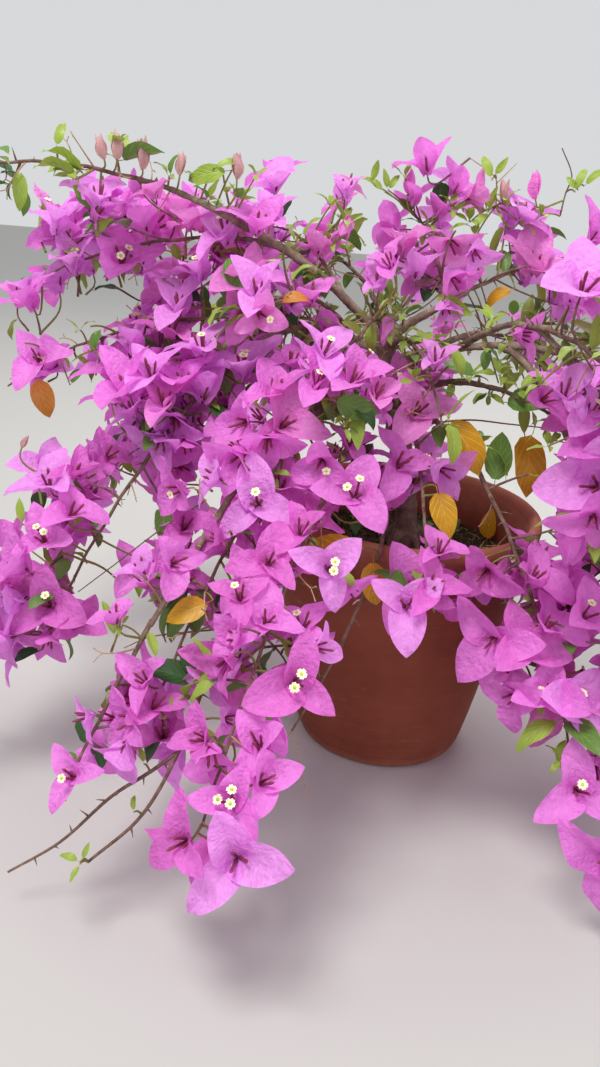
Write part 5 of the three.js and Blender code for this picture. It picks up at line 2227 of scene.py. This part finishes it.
class BUSH_OT_soil(bpy.types.Operator):
    """Fill the pot with soil, crumbs, moss and dry grass"""

    bl_idname = "bush.soil"
    bl_label = "Soil"

    def execute(self, context):
        settings = context.scene.bush.pot
        mesh = soil_mesh()
        soil = potting_soil()
        mesh.materials.append(soil)
        finish_piece(new_object("soil_bed", mesh), "soil", "soil")
        crumbs = [crumb_mesh(f"crumb_{k}", 60 + k) for k in range(4)]
        scattered_piece("soil_crumbs", crumbs, soil, settings.crumb_density, 3, 2.4, "soil")
        moss = plain_tissue("cushion_moss", "#5C7030", 0.8, 0.002)
        tufts = [blade_tuft(f"moss_{k}", 70 + k, 6, 4.5, 3.5, 0.45) for k in range(3)]
        scattered_piece("soil_moss", tufts, moss, settings.moss_density, 5, 1.4, None)
        straw = plain_tissue("dry_grass", "#B39A6A", 0.75, 0.003)
        stalks = [blade_tuft(f"straw_{k}", 80 + k, 2, 5, 26, 0.5) for k in range(4)]
        scattered_piece("soil_dry_grass", stalks, straw, settings.straw_density, 8, 1.3, None)
        return {"FINISHED"}


class BUSH_OT_limbs(bpy.types.Operator):
    """Join the trunk, roots and boughs and carve their bark"""

    bl_idname = "bush.limbs"
    bl_label = "Trunk and Boughs"

    def execute(self, context):
        settings = context.scene.bush.wood
        source = new_object("limbs_source", limbs_mesh())
        remesh = source.modifiers.new("Join", "REMESH")
        remesh.mode = "VOXEL"
        remesh.voxel_size = settings.voxel
        remesh.use_smooth_shade = True
        piece = plain_mesh(source, "trunk_and_boughs")
        carve_bark(piece.data, settings.furrow_depth)
        piece.data.materials.clear()
        piece.data.materials.append(woody_bark("cane_bark_old", "#655448", "#96806F", "#B9A491", 0.0016))
        finish_piece(piece, "bark", "trunk", *nodes_of("bough_"))
        return {"FINISHED"}


class BUSH_OT_twigs(bpy.types.Operator):
    """Grow the stems, twigs, thorns and dead flower stalks"""

    bl_idname = "bush.twigs"
    bl_label = "Twigs"

    def execute(self, context):
        twigs = plant().twigs
        brown = woody_bark("cane_bark_young", "#5C463C", "#8C7061", "#B09886", 0.0012)
        stems_piece("twigs_brown", twigs["cane"], brown, "bark")
        green = plain_tissue("green_stem", "#7E7A3A", 0.6, 0.004)
        stems_piece("twigs_green", twigs["green"], green, None)
        straw = plain_tissue("dead_stalk", "#B08F70", 0.8, 0.003)
        stems_piece("twigs_dead", twigs["straw"], straw, None)
        return {"FINISHED"}


class BUSH_OT_bracts(bpy.types.Operator):
    """Open the bracts, one piece for each tint"""

    bl_idname = "bush.bracts"
    bl_label = "Bracts"

    def execute(self, context):
        colours = context.scene.bush.colour
        forms = [form for form in BRACT_FORMS for _ in range(FORM_COPIES)]
        meshes = [bract_mesh(f"bract_{k:02d}", form, k) for k, form in enumerate(forms)]
        shapes = shape_collection("bract_shapes", meshes)
        for tint, rows in plant().bracts.items():
            material = papery_bract(f"bract_{tint}", tuple(getattr(colours, tint)))
            copies_piece(f"bracts_{tint}", rows, shapes, material, "blossom")
        remove_collection(shapes)
        return {"FINISHED"}


class BUSH_OT_flowers(bpy.types.Operator):
    """Set the small tube flowers and their stars inside the bracts"""

    bl_idname = "bush.flowers"
    bl_label = "Flowers"

    def execute(self, context):
        tube = plain_tissue("flower_tube", "#86384F", 0.6, 0.003)
        star = plain_tissue("flower_stars", "#EFE8C4", 0.55, 0.004)
        eye = plain_tissue("flower_eyes", "#B9BE4C", 0.55, 0.004)
        for name, rows, meshes, material in (
            ("flower_tubes", plant().tubes, [tube_mesh("tube_0", False), tube_mesh("tube_1", True)], tube),
            ("flower_stars", plant().stars, [star_mesh("star_0")], star),
            ("flower_eyes", plant().stars, [eye_mesh("eye_0")], eye),
        ):
            shapes = shape_collection(name + "_shapes", meshes)
            copies_piece(name, rows, shapes, material, None)
            remove_collection(shapes)
        return {"FINISHED"}


class BUSH_OT_leaves(bpy.types.Operator):
    """Hang the leaves, one piece for each tint"""

    bl_idname = "bush.leaves"
    bl_label = "Leaves"

    def execute(self, context):
        colours = context.scene.bush.colour
        meshes = [leaf_mesh(f"leaf_{k}", 20 + k, k < LEAF_FORMS // 2) for k in range(LEAF_FORMS)]
        shapes = shape_collection("leaf_shapes", meshes)
        for tint, rows in plant().leaves.items():
            material = waxy_leaf(f"leaf_{tint}", tuple(getattr(colours, f"{tint}_leaf")))
            copies_piece(f"leaves_{tint}", rows, shapes, material, None)
        remove_collection(shapes)
        return {"FINISHED"}


class BUSH_PT_panel(bpy.types.Panel):
    """The bush's operators and settings"""

    bl_label = "Potted Bougainvillea"
    bl_idname = "BUSH_PT_panel"
    bl_space_type = "VIEW_3D"
    bl_region_type = "UI"
    bl_category = "Bush"

    def draw(self, context):
        for operator in OPERATORS:
            self.layout.operator(operator.bl_idname)
        bush = context.scene.bush
        for group in (bush.bloom, bush.wood, bush.pot, bush.colour):
            for key in group.bl_rna.properties.keys():
                if key not in ("rna_type", "name"):
                    self.layout.prop(group, key)


# Stage

def make_floor():
    mesh = mesh_from("floor", [(-9, -9, 0), (9, -9, 0), (9, 9, 0), (-9, 9, 0)], [(0, 1, 2, 3)])
    mesh.materials.append(new_material("floor_paint", "#B9B7B4", 0.9)[0])
    new_object("floor", mesh)


def area_light(name, place, size, power, colour):
    """A round light that points at the middle of the bush."""
    data = bpy.data.lights.new(name, "AREA")
    data.shape = "DISK"
    data.size = size
    data.energy = power
    data.color = colour
    light = new_object(name, data)
    light.location = place
    light.rotation_euler = (Vector((0, 0, 0.3)) - Vector(place)).to_track_quat("-Z", "Y").to_euler()


def make_lights():
    area_light("key", (-0.7, -0.9, 2.4), 0.9, 49, (1, 0.985, 0.96))
    area_light("fill", (1.8, -1.7, 1.2), 1.8, 24, (0.98, 0.99, 1))
    area_light("back", (0.6, 1.8, 2.0), 1.4, 26, (1, 0.99, 0.97))
    world = bpy.data.worlds.new("studio")
    world.use_nodes = True
    background = world.node_tree.nodes["Background"]
    background.inputs["Color"].default_value = rgba("#E6E8EA")
    background.inputs["Strength"].default_value = 0.86
    bpy.context.scene.world = world
    bpy.context.scene.view_settings.view_transform = "Standard"


def make_camera():
    """The camera at the photograph's angle."""
    data = bpy.data.cameras.new("camera")
    data.sensor_fit = "VERTICAL"
    data.sensor_height = CAMERA["sensor_height"]
    data.lens = CAMERA["lens"]
    data.clip_start = 0.01
    camera = new_object("camera", data)
    camera.matrix_world = Matrix.Translation(Vector(CAMERA["place"]) * MM) @ camera_turn()
    bpy.context.scene.camera = camera


OPERATORS = (
    BUSH_OT_stage,
    BUSH_OT_pot,
    BUSH_OT_soil,
    BUSH_OT_limbs,
    BUSH_OT_twigs,
    BUSH_OT_bracts,
    BUSH_OT_flowers,
    BUSH_OT_leaves,
)
SETTINGS = (BloomSettings, WoodSettings, PotSettings, ColourSettings, BushSettings)
CLASSES = (*SETTINGS, *OPERATORS, BUSH_PT_panel)


def register():
    for cls in CLASSES:
        bpy.utils.register_class(cls)
    bpy.types.Scene.bush = PointerProperty(type=BushSettings)


def unregister():
    del bpy.types.Scene.bush
    for cls in reversed(CLASSES):
        bpy.utils.unregister_class(cls)


def main():
    register()
    for operator in OPERATORS:
        group, name = operator.bl_idname.split(".")
        getattr(getattr(bpy.ops, group), name)()


if __name__ == "__main__":
    main()
